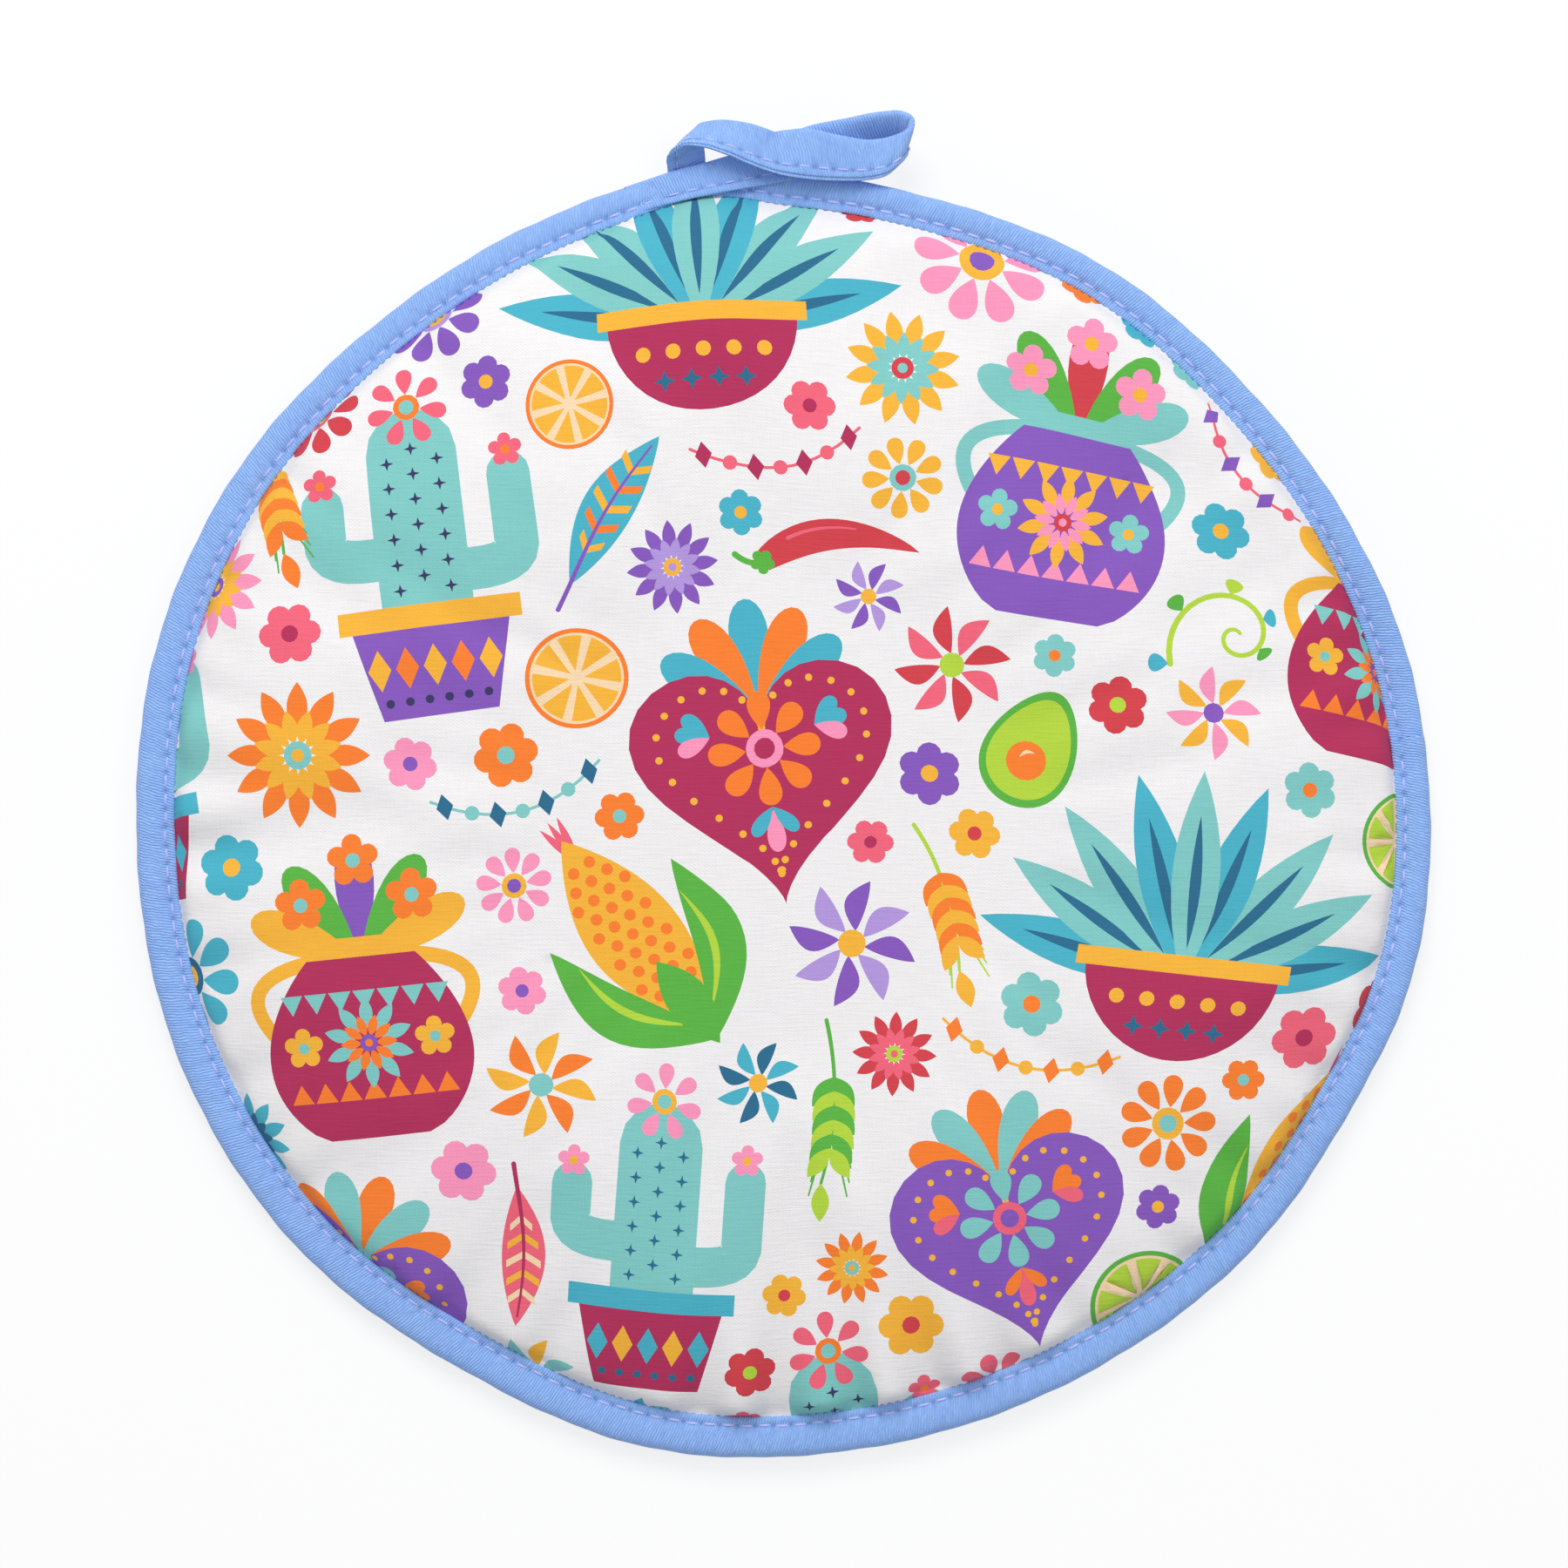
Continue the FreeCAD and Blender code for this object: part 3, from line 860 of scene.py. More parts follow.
# The rings of points in the two faces of a printed cloth, in mm past the tape's lip, and the even points
# inside them: how far apart they are, and where they begin.
BORDER_COLUMNS = 960
PRINTED_RINGS = (-3.0, -0.6, 0.1, 0.45, 1.0, 1.8, 2.9, 4.4, 6.0, 7.8, 9.8, 12.0, 14.4, 17.0, 19.8)
UNDER_RINGS = (0.1, 0.6, 1.4, 2.6, 4.4, 6.8, 9.6, 13.0, 17.0, 21.5)
RING_COLUMNS = 460
PRINTED_STEP, PRINTED_INSIDE = 3.2, 21.5
UNDER_STEP, UNDER_INSIDE = 6.0, 34


def ring_past(past, shift=0.0):
    """A ring of points past the tape's lip."""
    turn = even_angles(RING_COLUMNS, shift)
    x, y = at_inset(turn, tape_width(turn) + past)
    return x + 1j * y


def cover(name, outlines, top_points, low_points, material):
    """A closed sheet of printed cloth. The two functions give the points of its faces."""
    x, y = at_inset(even_angles(BORDER_COLUMNS), PANEL_INSET)
    rings = [ring_past(past, 0.5 * (number % 2)) for number, past in enumerate(PRINTED_RINGS)]
    spots = hexagons(PRINTED_STEP)
    angle, inset = polar(spots.real, spots.imag)
    rings.append(spots[inset > tape_width(angle) + PRINTED_INSIDE])
    where, triangles = triangulate(x + 1j * y, [outline for _, outline in outlines], np.concatenate(rings))
    middle = where[triangles].mean(axis=1)
    colours = np.tile(linear(CLOTH_WHITE), (len(triangles), 1))
    for colour, outline in outlines:
        colours[in_outline(middle, outline)] = linear(colour)
    loop = edge_loop(triangles)
    spots = hexagons(UNDER_STEP)
    rings = [ring_past(past) for past in UNDER_RINGS]
    rings.append(spots[polar(spots.real, spots.imag)[1] > UNDER_INSIDE])
    under, under_triangles = triangulate(where[loop], [], np.concatenate(rings))
    under_loop = edge_loop(under_triangles)
    shift = int(np.argmin(np.abs(under[under_loop] - where[loop[0]])))
    under_loop = under_loop[shift:] + under_loop[:shift]
    top = top_points(where.real, where.imag)
    low = low_points(under.real, under.imag)
    count = len(where)
    faces = triangles.tolist() + (under_triangles[:, ::-1] + count).tolist()
    for k in range(len(loop)):
        n = (k + 1) % len(loop)
        faces.append([loop[k], under_loop[k] + count, under_loop[n] + count, loop[n]])
    piece = link(name, np.concatenate([top, low]), faces, material)
    flat = unlaid(np.concatenate([where, under]))
    lay_flat(piece, flat.real, flat.imag)
    shown = np.tile(linear(CLOTH_WHITE), (len(faces), 1))
    shown[:len(colours)] = colours
    sides = [len(face) for face in faces]
    layer = piece.data.color_attributes.new("print", "FLOAT_COLOR", "CORNER")
    layer.data.foreach_set("color", np.repeat(shown, sides, axis=0).ravel())
    return piece


PAD_INSETS = (2.3, 5.0, 9.3, 9.8, 10.6, 11.8, 13.4, 15.6, 18.5, 22.5, 27.5, 34.0, *np.linspace(42, 146, 24))


def pad(name, low_points, top_points, material, columns=240):
    """A closed layer of the panel, in rings about its middle that follow the tape's lip."""
    rows = len(PAD_INSETS)
    angle = np.tile(even_angles(columns), rows)
    inset = np.repeat(PAD_INSETS, columns)
    from_lip = (tape_width(angle) - TAPE_MEAN) * np.exp(-(inset - TAPE_MEAN) / 20)
    x, y = at_inset(angle, np.where(inset < TAPE_MEAN, inset, inset + from_lip))
    x, y = np.append(x, 0.0), np.append(y, 0.0)
    count = len(x)
    band = band_faces(rows, columns)
    faces = band.tolist() + (band[:, ::-1] + count).tolist()
    last = (rows - 1) * columns
    for a, b in band[:columns, :2].tolist():
        faces += [
            [last + a, last + b, count - 1],
            [last + b + count, last + a + count, 2 * count - 1],
            [b, a, a + count, b + count],
        ]
    piece = link(name, np.concatenate([top_points(x, y), low_points(x, y)]), faces, material)
    lay_flat(piece, np.tile(x, 2), np.tile(y, 2))
    return piece


def swept(name, sections, along, material, painted_shade):
    """A closed tube through sections, an array of rows of points, with flat ends."""
    rows, count = sections.shape[:2]
    number = np.arange(count)
    faces = band_faces(rows, count).tolist()
    faces += [number[::-1].tolist(), (number + (rows - 1) * count).tolist()]
    piece = link(name, sections.reshape(-1, 3), faces, material)
    step = np.linalg.norm(sections - np.roll(sections, 1, axis=1), axis=2)
    step[:, 0] = 0
    lay_flat(piece, np.repeat(along, count), np.cumsum(step, axis=1).ravel())
    # Each point's share of painted shade, which darkens the tape's colour in dents and creases.
    layer = piece.data.attributes.new("painted_shade", "FLOAT", "POINT")
    layer.data.foreach_set("value", painted_shade.astype(float).ravel())
    return piece


# The tape's top half: mm from its lip, and mm above the panel.
TAPE_LIP = (
    (0.0, 0.03), (0.04, 0.34), (0.4, 0.6), (1.0, 0.66), (1.6, 0.56), (2.2, 0.24), (2.8, 0.54),
    (3.6, 0.82), (4.6, 0.94),
)
# Up to LIP_FLAT mm from its lip the tape lies flat. Past LIP_REACH its points spread to the rolled edge.
LIP_FLAT = 2.5
LIP_REACH = 2.8
ROLL_WIDTH = 3.4
ROLL_STEPS = 13
SWELL_UP = 0.55


def tape_sections(angle, low, top, thick_low, thick_top, swell, squeeze):
    """Sections of tape wrapped on an edge between two heights, and the painted shade at each of their
    points, which darkens the stitches' dents.

    swell opens the tape out over what lies under it, and squeeze draws it in under what lies over it."""
    width = tape_width(angle)
    length = angle * DISC_RADIUS
    soft = 1 + ripple(length, (31.0, 0.1, 0.4), (12.7, 0.1, 1.9), (71.0, 0.08, 0.8))
    uneven = 0.1 * ripple(length, (9.3, 0.5, 0.2), (23.0, 0.8, 2.0))
    needle = 0.5 + 0.5 * np.cos(2 * np.pi * length / STITCH_PITCH)
    middle = (low + top) / 2
    flat = np.zeros_like(angle)
    places = []
    for side, face, thick in ((1, top, thick_top), (-1, low, thick_low)):
        part = []
        for past, up in TAPE_LIP:
            puff = up * soft if past > LIP_FLAT else up * np.ones_like(angle)
            # Each stitch dents the tape, and the dent also sets the painted shade that darkens it there.
            dent = math.exp(-((past - STITCH_FROM_LIP) / 0.6) ** 2) * needle**6
            inner = width - past * (1 - 0.1 * squeeze)
            if past > LIP_REACH:
                share = (past - LIP_REACH) / 2.6
                inner = (width - LIP_REACH) * (1 - share) + ROLL_WIDTH * share
            part.append((inner, face + side * (thick * (puff - 0.16 * dent) + SWELL_UP * swell), dent))
        roll = []
        for number in range(ROLL_STEPS // 2 + 1):
            turn = 0.5 * np.pi * (1 - number / (ROLL_STEPS // 2))
            reach = ROLL_WIDTH * (1 - math.cos(turn) ** 0.8)
            half = (face - middle) * side + thick * 0.94 * soft + SWELL_UP * swell
            height = middle + side * half * math.sin(turn) ** 0.85
            roll.append((reach + 0.8 * squeeze + uneven, height, flat))
        part += roll if side == 1 else roll[:-1]
        places += part if side == 1 else part[::-1]
    skin = 0.02 + SWELL_UP * swell
    turn_in = 1.95 - 0.95 * swell + flat
    under, over = low - skin, top + skin
    places += [
        (width - 0.25, under, flat), (width - 4.0, under, flat), (turn_in + 0.35, under, flat),
        (turn_in, low - (skin - 0.6), flat), (turn_in, top + (skin - 0.6), flat),
        (turn_in + 0.35, over, flat), (width - 4.0, over, flat), (width - 0.25, over, flat),
    ]
    inset, height, painted_shade = (np.array([place[k] for place in places]).T for k in range(3))
    x, y = at_inset(np.repeat(angle[:, None], inset.shape[1], axis=1).ravel(), inset.ravel())
    points = np.column_stack([x, y, height.ravel()])
    return points, inset.shape, length, painted_shade


def spread_angles(start, end):
    count = int(abs(end - start) * DISC_RADIUS / (STITCH_PITCH / 8)) + 1
    return np.linspace(start, end, count)


# Where the sewn part of the rim starts and ends, and how its tape and the mouth's meet.
CLOSED_FROM = MOUTH_TURN + MOUTH_HALF
CLOSED_TO = MOUTH_TURN - MOUTH_HALF + 2 * math.pi
TUCK_UNDER = math.radians(1.5)
END_RUN = math.radians(3.2)
OVERRUN = math.radians(1.2)
MOUTH_FROM, MOUTH_TO = MOUTH_TURN - MOUTH_HALF, MOUTH_TURN + MOUTH_HALF
CLOSED_TOP = BACK_EDGE_LOW + 2 * PANEL_EDGE_THICK
LIP_INSET = 5.0


def near_ends(angle, start, end):
    """1 at both ends of an arc, and 0 beyond END_RUN from them."""
    return 1 - smooth(np.minimum(angle - start, end - angle) / END_RUN)


def lip_low(angle):
    """The height of the front panel's edge from below, before the lip is lifted."""
    x, y = at_inset(angle, LIP_INSET)
    return BACK_EDGE_LOW + PANEL_EDGE_THICK + LIP_GAP * lip_share(x, y)


def lip_top(angle):
    return lip_low(angle) + PANEL_EDGE_THICK


def lip_room(angle):
    """The gap between the panels at the edge, once the lip is lifted."""
    x, y = at_inset(angle, LIP_INSET)
    return lift(np.column_stack([x, y, lip_low(angle)]))[:, 2] - (BACK_EDGE_LOW + PANEL_EDGE_THICK)


def bind(name, angle, low, high, thick_low, thick_top, swell=0.0, squeeze=0.0, lifted=False):
    """A length of tape on one edge. The front panel's is lifted with it."""
    values = (low, low + high, thick_low, thick_top, swell, squeeze)
    points, shape, length, painted_shade = tape_sections(angle, *(value + 0 * angle for value in values))
    if lifted:
        points = lift(points)
    return swept(name, points.reshape(*shape, 3), length, tape_material, painted_shade)


def build_rim_tape():
    angle = spread_angles(CLOSED_FROM - OVERRUN, CLOSED_TO + OVERRUN)
    swell = near_ends(angle, angle[0], angle[-1])
    return bind("rim_tape", angle, BACK_EDGE_LOW, 2 * PANEL_EDGE_THICK, 1.0, 1.0, swell)


def build_mouth_tapes():
    """The front panel's tape at the mouth and the back panel's, which leave each other room."""
    angle = spread_angles(MOUTH_FROM - TUCK_UNDER, MOUTH_TO + TUCK_UNDER)
    squeeze = near_ends(angle, angle[0], angle[-1])
    room = np.clip(0.42 * lip_room(angle), 0.05, 0.75)
    front = bind("front_mouth_tape", angle, lip_low(angle), PANEL_EDGE_THICK, room, 0.8 - 0.4 * squeeze,
                 squeeze=squeeze, lifted=True)
    back = bind("back_mouth_tape", angle, BACK_EDGE_LOW, PANEL_EDGE_THICK, 0.9 - 0.4 * squeeze, room,
                squeeze=squeeze)
    return front, back


def stitch_row(name, places, ways, ups, shown=STITCH_SHOWN, radius=STITCH_RADIUS):
    """Short stitches, each a bent round thread whose ends dive into the cloth."""
    rings, sides = 7, 8
    t = np.linspace(-1, 1, rings)
    bow = 1 - np.abs(t) ** 2.6
    slim = np.sqrt(np.clip(1 - np.abs(t) ** 5, 0.08, 1))
    quads = band_faces(rings, sides)[:, ::-1]
    number = np.arange(sides)
    ends = (number, number[::-1] + (rings - 1) * sides)
    points, faces = [], []
    for at, way, up in zip(places, ways, ups):
        side = np.cross(up, way)
        faces += (quads + len(points)).tolist() + [(end + len(points)).tolist() for end in ends]
        for k in range(rings):
            centre = at + way * t[k] * shown / 2 + up * (0.62 * bow[k] - 0.42) * radius * 1.6
            for angle in even_angles(sides):
                points.append(centre + radius * slim[k] * (side * math.cos(angle) + up * math.sin(angle)))
    return link(name, points, faces, thread_material)


def unit(vectors):
    return vectors / np.linalg.norm(vectors, axis=1)[:, None]


def upright(ups, ways):
    """The ups, made unit vectors at right angles to the ways."""
    return unit(ups - ways * np.sum(ups * ways, axis=1)[:, None])


def rim_stitches(name, start, end, height, side, lifted=False):
    """A row of stitches in the tape's groove, on its upper side or its lower one.

    Height is a number, or a function that gives it at each angle."""
    first = math.ceil(start * DISC_RADIUS / STITCH_PITCH)
    last = math.floor(end * DISC_RADIUS / STITCH_PITCH)
    number = np.arange(last - first)
    angle = (number + first + 0.5) * STITCH_PITCH / DISC_RADIUS
    wander = 0.12 * np.sin(2.4 * number) + 0.08 * np.sin(1.1 * number)
    spots = []
    for turn in (angle - 0.004, angle, angle + 0.004):
        x, y = at_inset(turn, tape_width(turn) - STITCH_FROM_LIP + wander)
        face = height(turn) if callable(height) else height + 0 * turn
        spot = np.column_stack([x, y, face + side * 0.3])
        spots.append(lift(spot) if lifted else spot)
    ways = unit(spots[2] - spots[0])
    return stitch_row(name, spots[1], ways, upright(np.array([[0.0, 0.0, side]]), ways))


# The tape's tail leaves the rim, turns over and comes back as the hang loop: the hem's and the fold's
# points along it in mm. The loop's own run starts where the tail's ends.
TAIL = (
    ((-36.0, 141.9, 6.6), (-37.6, 148.0, 5.6)),
    ((-30.0, 143.6, 7.4), (-31.4, 150.0, 6.4)),
    ((-24.5, 145.0, 8.3), (-25.4, 151.9, 7.6)),
    ((-17.5, 146.5, 8.8), (-18.2, 153.7, 8.5)),
    ((-8.0, 148.3, 9.0), (-9.5, 156.4, 8.7)),
    ((0.5, 149.9, 9.0), (-1.2, 159.4, 8.3)),
)
STRAP = (
    ((0.5, 149.9, 9.0), (-1.2, 159.4, 8.3)),
    ((8.0, 151.5, 8.2), (6.0, 162.1, 10.0)),
    ((16.0, 153.7, 6.2), (15.0, 163.6, 12.4)),
    ((22.4, 155.4, 5.2), (22.4, 164.8, 14.0)),
    ((26.6, 155.6, 6.4), (27.6, 164.9, 15.0)),
    ((28.6, 155.1, 10.2), (29.9, 163.5, 15.6)),
    ((27.2, 153.1, 14.2), (29.2, 161.1, 15.9)),
    ((24.4, 150.7, 15.7), (26.0, 159.4, 15.6)),
    ((19.4, 149.5, 15.5), (20.4, 158.3, 15.4)),
    ((12.9, 149.4, 15.1), (13.4, 159.3, 14.9)),
    ((5.0, 150.0, 14.6), (5.5, 161.0, 14.3)),
    ((-2.5, 151.3, 14.6), (-2.5, 160.7, 13.2)),
    ((-8.5, 153.4, 15.2), (-8.0, 162.3, 12.6)),
    ((-13.4, 155.4, 15.8), (-13.3, 163.1, 11.9)),
    ((-19.4, 157.1, 15.8), (-16.8, 162.9, 11.7)),
    ((-23.5, 157.2, 15.1), (-18.8, 162.3, 12.2)),
    ((-26.2, 155.8, 13.0), (-19.4, 161.3, 11.6)),
    ((-27.0, 154.5, 10.2), (-19.0, 158.8, 9.2)),
    ((-26.8, 153.0, 8.0), (-18.6, 155.6, 7.2)),
    ((-26.7, 151.3, 6.0), (-18.4, 152.6, 5.8)),
    ((-26.6, 149.0, 4.6), (-18.4, 149.4, 4.6)),
)
# The strap's section: the share of the way from hem to fold, and mm from its middle plane.
STRAP_FACE = (
    (0.0, 0.1), (0.006, 0.38), (0.04, 0.52), (0.12, 0.54), (0.19, 0.34), (0.26, 0.54), (0.45, 0.6),
    (0.7, 0.74), (0.88, 0.84), (0.955, 0.72), (0.99, 0.42),
)
STRAP_STITCH_SHARE = 0.19
# How far one lip of the hem reaches past the other, as a share of the strap's width.
HEM_STEP = 0.085
TAIL_LENGTH = 38.0
CREASE_AT = 104.0
CREASE_DEEP = 1.3


def strap_frames(run, count):
    """Hem points, the way across to the fold, normals and lengths along a run of strap."""
    stations = np.array(run)
    middle = stations.mean(axis=1)
    length = np.concatenate([[0], np.cumsum(np.linalg.norm(np.diff(middle, axis=0), axis=1))])
    where = np.linspace(0, length[-1], count)
    hem = through(length, stations[:, 0], where)
    across = through(length, stations[:, 1], where) - hem
    way = np.gradient(hem + across / 2, axis=0)
    return hem, across, unit(np.cross(way, across)), where


def build_strap(name, run, start):
    """A run of strap. Start is how far along the whole strap it begins, in mm."""
    hem, across, normal, where = strap_frames(run, 11 * len(run))
    length = where + start
    profile = tuple((share - HEM_STEP * (1 - share) ** 8, up) for share, up in STRAP_FACE)
    profile += ((1.0, 0.0),) + tuple((share, -up) for share, up in STRAP_FACE[::-1])
    profile += ((0.03, -0.04), (-0.03, -0.06), (-0.07, -0.04))
    needle = (0.5 + 0.5 * np.cos(2 * np.pi * length / STITCH_PITCH)) ** 3
    sections, painted_shade = [], []
    for share, up in profile:
        crease = ripple(length + 9 * share, (17.0, 0.16, 0.3), (7.3, 0.1, 1.2), (4.5, 0.05, 0.0))
        at_row = math.exp(-((share - STRAP_STITCH_SHARE) / 0.05) ** 2)
        pinch = np.exp(-((length - CREASE_AT - 7 * (1 - share)) / 1.1) ** 2) * share**2
        height = up + crease * math.sin(math.pi * min(1.0, share * 1.2))
        height += CREASE_DEEP * pinch - math.copysign(0.12, up) * at_row * needle
        sections.append(hem + across * share + normal * height[:, None])
        # Painted shade: darker at the stitch dents and along the crease.
        painted_shade.append(needle * at_row + 0.5 * pinch)
    return swept(name, np.stack(sections, axis=1), length, tape_material, np.stack(painted_shade, axis=1))


def build_strap_stitches(name, run, start, skip=0.0):
    """Stitches along both faces of a run of strap, but for its first skip mm."""
    hem, across, normal, where = strap_frames(run, 900)
    first = math.ceil((start + skip) / STITCH_PITCH)
    last = math.floor((start + where[-1]) / STITCH_PITCH)
    middle = (np.arange(first, last) + 0.5) * STITCH_PITCH - start
    at = np.clip(np.searchsorted(where, middle), 3, len(where) - 4)
    line = hem + across * STRAP_STITCH_SHARE
    way = unit(line[at + 3] - line[at - 3])
    ups = np.concatenate([upright(side * normal[at], way) for side in (1, -1)])
    return stitch_row(name, np.tile(line[at], (2, 1)) + ups * 0.42, np.tile(way, (2, 1)), ups, 2.8, 0.25)


# Materials. Pitches are in mm of the flat cloth.

class Look:
    """A new material, with short ways to add nodes to it."""

    def __init__(self, name, roughness, sheen=0.0, specular=0.5):
        self.material = bpy.data.materials.new(name)
        self.material.use_nodes = True
        self.nodes = self.material.node_tree.nodes
        self.shader = self.nodes["Principled BSDF"]
        finish = {"Roughness": roughness, "Sheen Weight": sheen, "Specular IOR Level": specular}
        self.feed(self.shader, finish)

    def feed(self, node, inputs):
        """Gives a node's inputs, by name or number, plain values or the outputs of other nodes."""
        for key, value in inputs.items():
            if isinstance(value, bpy.types.NodeSocket):
                self.material.node_tree.links.new(value, node.inputs[key])
            else:
                node.inputs[key].default_value = value
        return node

    def add(self, kind, inputs, operation=None):
        node = self.nodes.new("ShaderNode" + kind)
        if operation:
            node.operation = operation
        return self.feed(node, inputs)

    def attribute(self, name, output):
        node = self.add("Attribute", {})
        node.attribute_name = name
        return node.outputs[output]

    def maths(self, operation, a, b=0.0):
        return self.add("Math", {0: a, 1: b}, operation).outputs[0]

    def total(self, first, *others):
        """The sum of values, each given with its weight."""
        part = self.maths("MULTIPLY", *first)
        return self.maths("ADD", part, self.total(*others)) if others else part

    def wave(self, value, pitch):
        return self.maths("SINE", self.maths("MULTIPLY", value, 2 * math.pi / pitch))

    def axes(self, place):
        return self.add("SeparateXYZ", {0: place}).outputs

    def noise(self, place, scale, detail, stretch=(1.0, 1.0, 1.0)):
        """Noise whose features are about 1/scale mm, stretched along the cloth's axes."""
        stretched = self.add("VectorMath", {0: place, 1: stretch}, "MULTIPLY").outputs[0]
        return self.add("TexNoise", {"Scale": scale, "Detail": detail, "Vector": stretched}).outputs["Fac"]

    def scaled(self, colour, factor):
        return self.add("VectorMath", {0: colour, "Scale": factor}, "SCALE").outputs[0]

    def mix(self, share, a, b):
        node = self.nodes.new("ShaderNodeMix")
        node.data_type = "RGBA"
        return self.feed(node, {"Factor": share, 6: a, 7: b}).outputs[2]

    def surface(self, colour, height, distance):
        """Joins up the colour, and a relief whose height counts in distances of so many mm."""
        relief = self.add("Bump", {"Strength": 1.0, "Distance": distance * MM, "Height": height})
        self.feed(self.shader, {"Base Color": colour, "Normal": relief.outputs["Normal"]})
        return self.material


TWILL_PITCH = 0.62
TAPE_RIB_PITCH = 0.68


def printed_cloth():
    """A fine ribbed weave with a faint twill. The ink sits in the threads, so the weave shows in it too."""
    look = Look("printed_cloth", 0.85, 0.06, 0.2)
    place = look.attribute("cloth", "Vector")
    x, y, _ = look.axes(place)
    rib = look.noise(place, 1.0, 1.0, (0.16, 1.7, 1.0))
    fine = look.noise(place, 1.0, 1.0, (0.22, 3.4, 1.0))
    slub = look.noise(place, 1.0, 1.0, (2.4, 0.2, 1.0))
    blotch = look.noise(place, 0.03, 2.0)
    twill = look.wave(look.total((x, 0.6), (y, 0.8)), TWILL_PITCH)
    height = look.total((rib, 1.0), (fine, 0.5), (slub, 0.5))
    shade = look.total((rib, 0.09), (fine, 0.07), (slub, 0.06), (blotch, 0.04), (twill, 0.045), (1.0, 0.8))
    return look.surface(look.scaled(look.attribute("print", "Color"), shade), height, 0.1)


def bias_tape():
    """Blue bias tape with ribs that lean across it, and painted shade that darkens it in the dents of its
    stitches and its crease.
    """
    look = Look("bias_tape", 0.66, 0.15, 0.3)
    place = look.attribute("cloth", "Vector")
    x, y, _ = look.axes(place)
    uneven = look.noise(place, 0.4, 2.0)
    streak = look.noise(place, 1.0, 2.0, (1.5, 0.22, 1.0))
    mottle = look.noise(place, 0.16, 3.0)
    rib = look.wave(look.total((x, 1.0), (y, 0.28), (uneven, 0.9)), TAPE_RIB_PITCH)
    rib = look.total((rib, 0.5), (1.0, 0.5))
    share = look.total((rib, 0.4), (streak, 0.45), (mottle, 0.4), (1.0, -0.26))
    limited = look.add("Clamp", {"Value": share}).outputs[0]
    colour = look.mix(limited, linear(TAPE_BLUE), linear(TAPE_SHADE))
    # Painted shade: the tape's colour darkens towards a deep blue in the stitch dents and the strap's
    # crease.
    painted_shade_share = look.maths("MULTIPLY", look.attribute("painted_shade", "Fac"), 0.55)
    colour = look.mix(painted_shade_share, colour, linear(TAPE_PAINTED_SHADE))
    return look.surface(colour, look.maths("ADD", rib, streak), 0.2)


def plain_cloth(name, colour, pitch, roughness, rough_height):
    look = Look(name, roughness)
    place = look.attribute("cloth", "Vector")
    x, y, _ = look.axes(place)
    weave = look.maths("MULTIPLY", look.wave(x, pitch), look.wave(y, pitch * 1.1))
    slub = look.noise(place, 1.0, 3.0, (0.5, 0.9, 1.0))
    shaded = look.scaled(linear(colour)[:3], look.total((slub, 0.14), (1.0, 0.9)))
    return look.surface(shaded, look.total((weave, 0.5), (slub, 1.0)), rough_height)


def thread():
    """Twisted polyester sewing thread."""
    look = Look("sewing_thread", 0.5, 0.15)
    twist = look.noise(look.add("TexCoord", {}).outputs["Object"], 2600.0, 1.0)
    return look.surface(look.mix(twist, linear(THREAD_LAVENDER), linear(THREAD_SHADE)), twist, 0.05)


FLOOR_GREY = (0.86, 0.86, 0.86, 1)
FLOOR_GLOW = 1.03
GLOW_SHARE = 0.75


def pale_floor():
    """Plain floor that shows as white, and keeps part of the shadow."""
    look = Look("pale_floor", 0.9)
    look.feed(look.shader, {"Base Color": FLOOR_GREY})
    glow = look.add("Emission", {"Strength": FLOOR_GLOW})
    rays = look.add("LightPath", {}).outputs
    seen = look.maths("MAXIMUM", rays["Is Camera Ray"], rays["Is Glossy Ray"])
    seen = look.maths("MAXIMUM", seen, rays["Is Transmission Ray"])
    share = look.maths("MULTIPLY", seen, GLOW_SHARE)
    both = look.add("MixShader", {0: share, 1: look.shader.outputs[0], 2: glow.outputs[0]})
    look.feed(look.nodes["Material Output"], {"Surface": both.outputs[0]})
    return look.material
# The pouch

cloth_material = printed_cloth()
tape_material = bias_tape()
thread_material = thread()
lining_material = plain_cloth("lining_cloth", LINING_WHITE, 1.2, 0.88, 0.1)
batting_material = plain_cloth("batting", BATTING_WHITE, 2.4, 0.95, 0.4)

design = kitchen_garden_print()
front_outlines = [(colour, laid(outline)) for colour, outline in design]
back_outlines = [(colour, laid(np.conj(spin(outline, 157)))) for colour, outline in design]


def front_level(level, shift=0.0):
    """The front panel's surface at a level, moved up by shift mm."""
    return lambda x, y: front_sheet(x, y, level) + [0.0, 0.0, shift]


def back_level(level, shift=0.0):
    def points(x, y):
        low, top = back_faces(x, y)
        return np.column_stack([x, y, low + (top - low) * level + shift])
    return points


# What is left between two layers of the front panel and of the back one, in mm.
LAYER_GAP = 0.04
COVER_UNDER_GAP = 0.35
PAD_TOP_GAP = 0.9

front_cover = cover("front_cover_cloth", front_outlines, front_level(1.0),
                    front_level(1.0, -CLOTH_THICK - COVER_UNDER_GAP), cloth_material)
front_pad = pad("front_batting_pad", front_level(0.0, CLOTH_THICK + LAYER_GAP),
                front_level(1.0, -CLOTH_THICK - PAD_TOP_GAP), batting_material, 480)
front_lining = pad("front_lining_cloth", front_level(0.0), front_level(0.0, CLOTH_THICK), lining_material)
back_cover = cover("back_cover_cloth", back_outlines, back_level(0.0, CLOTH_THICK), back_level(0.0),
                   cloth_material)
back_pad = pad("back_batting_pad", back_level(0.0, CLOTH_THICK + LAYER_GAP),
               back_level(1.0, -CLOTH_THICK - LAYER_GAP), batting_material)
back_lining = pad("back_lining_cloth", back_level(1.0, -CLOTH_THICK), back_level(1.0), lining_material)

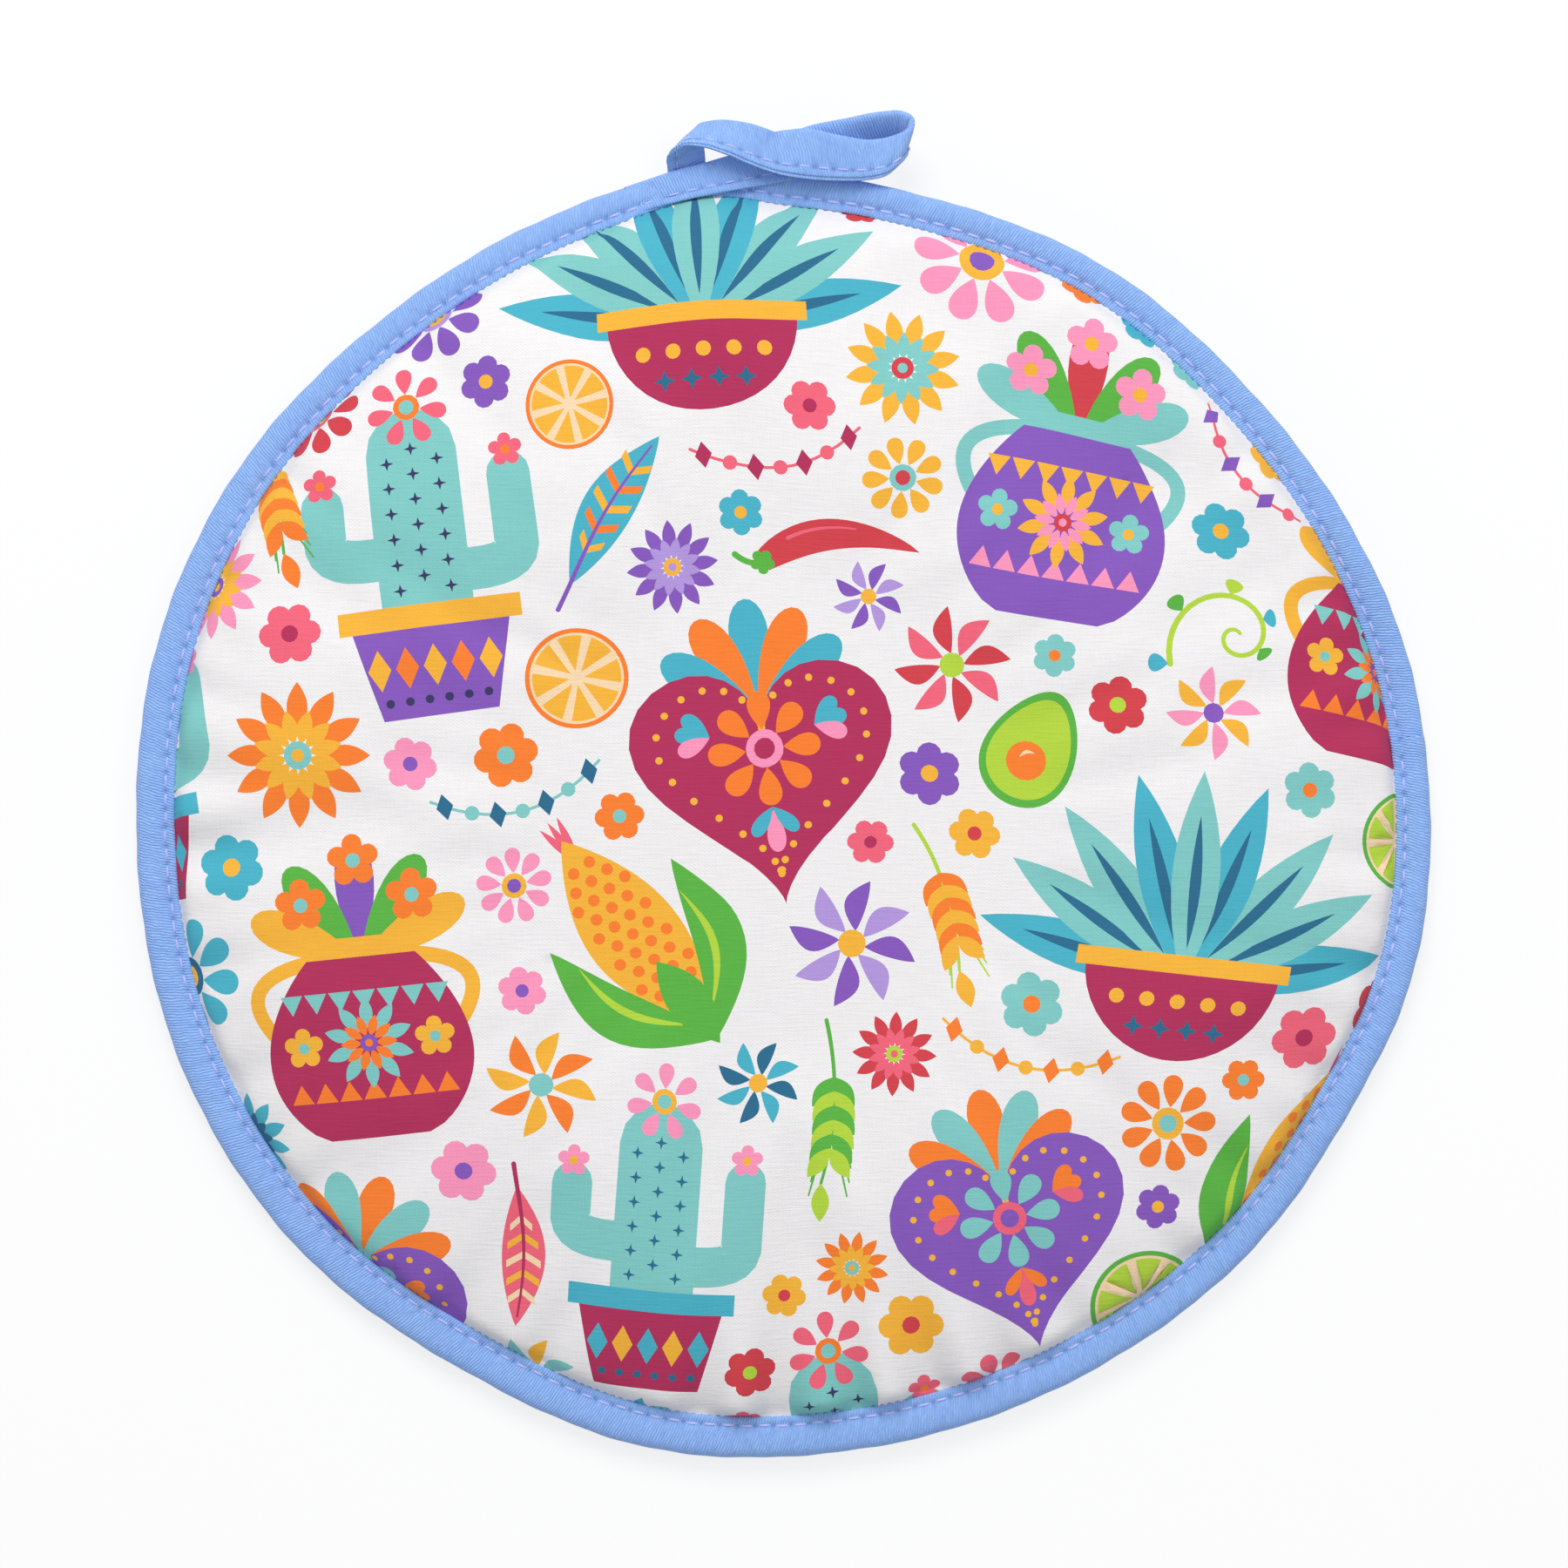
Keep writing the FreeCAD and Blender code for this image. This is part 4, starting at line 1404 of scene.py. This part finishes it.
rim_tape = build_rim_tape()
front_mouth_tape, back_mouth_tape = build_mouth_tapes()
tape_tail = build_strap("tape_tail", TAIL, 0.0)
loop_strap = build_strap("loop_strap", STRAP, TAIL_LENGTH)
tail_stitches = build_strap_stitches("tail_stitches", TAIL, 0.0, 8.0)
loop_stitches = build_strap_stitches("loop_stitches", STRAP, TAIL_LENGTH)

rim_front_row = rim_stitches("rim_front_stitches", CLOSED_FROM, CLOSED_TO, CLOSED_TOP, 1)
rim_back_row = rim_stitches("rim_back_stitches", CLOSED_FROM, CLOSED_TO, BACK_EDGE_LOW, -1)
mouth_ends = MOUTH_FROM + OVERRUN, MOUTH_TO - OVERRUN
front_mouth_row = rim_stitches("front_mouth_stitches", *mouth_ends, lip_top, 1, lifted=True)
back_mouth_row = rim_stitches("back_mouth_stitches", *mouth_ends, BACK_EDGE_LOW, -1)
# The pieces' places: the back panel, rim tape and their stitches go with the pouch, the rest stay in the
# world's frame

for piece in (front_cover, front_pad, front_lining, front_mouth_tape, front_mouth_row):
    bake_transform(piece)
for piece in (back_cover, back_pad, back_lining, rim_tape, back_mouth_tape,
              rim_front_row, rim_back_row, back_mouth_row):
    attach(piece, "pouch")
for piece in (loop_strap, loop_stitches):
    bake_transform(piece)
for piece in (tape_tail, tail_stitches):
    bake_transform(piece)

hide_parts("front_cover", "flap_cover")
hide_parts("front_batting", "flap_batting")
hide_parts("front_lining", "flap_lining")
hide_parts("back_cover")
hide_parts("back_batting")
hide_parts("back_lining")
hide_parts("rim_binding")
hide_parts("front_mouth_binding")
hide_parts("back_mouth_binding")
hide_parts("hang_loop")

# Stage

FLOOR_REACH = 3
FLOOR_HEIGHT = -0.0004
floor_mesh = bpy.data.meshes.new("floor")
floor_ways = ((-1, -1), (1, -1), (1, 1), (-1, 1))
floor_corners = [(x * FLOOR_REACH, y * FLOOR_REACH, FLOOR_HEIGHT) for x, y in floor_ways]
floor_mesh.from_pydata(floor_corners, [], [(0, 1, 2, 3)])
floor_mesh.materials.append(pale_floor())
floor = bpy.data.objects.new("floor", floor_mesh)
bpy.context.scene.collection.objects.link(floor)

scene = bpy.context.scene
world = bpy.data.worlds.new("studio")
world.use_nodes = True
sky = world.node_tree.nodes["Background"].inputs
sky["Color"].default_value = (0.965, 0.975, 1, 1)
sky["Strength"].default_value = 0.5
scene.world = world


def soft_lamp(name, place, size, power, colour):
    """A round lamp of that size in metres and power in watts, aimed at the pouch."""
    lamp = bpy.data.lights.new(name, "AREA")
    lamp.shape = "DISK"
    lamp.size = size
    lamp.energy = power
    lamp.color = colour
    holder = bpy.data.objects.new(name, lamp)
    holder.location = place
    holder.rotation_euler = (-Vector(place)).to_track_quat("-Z", "Y").to_euler()
    scene.collection.objects.link(holder)


soft_lamp("key", (-0.22, 1.28, 1.62), 1.1, 25.5, (1.0, 0.992, 0.975))
soft_lamp("fill", (0.8, 0.3, 1.6), 1.0, 4, (1.0, 1.0, 1.0))

# The camera's view in metres at the height of the rim.
CAMERA_HEIGHT = 1.5
RIM_HEIGHT = 0.0042
VIEW_WIDTH = 0.3696
VIEW_MIDDLE = (0, 0.0075)
camera_data = bpy.data.cameras.new("camera")
camera_data.sensor_width = 36
camera_data.lens = 36 * CAMERA_HEIGHT / VIEW_WIDTH
camera = bpy.data.objects.new("camera", camera_data)
camera.location = (*VIEW_MIDDLE, RIM_HEIGHT + CAMERA_HEIGHT)
scene.collection.objects.link(camera)
scene.camera = camera
scene.view_settings.view_transform = "Standard"
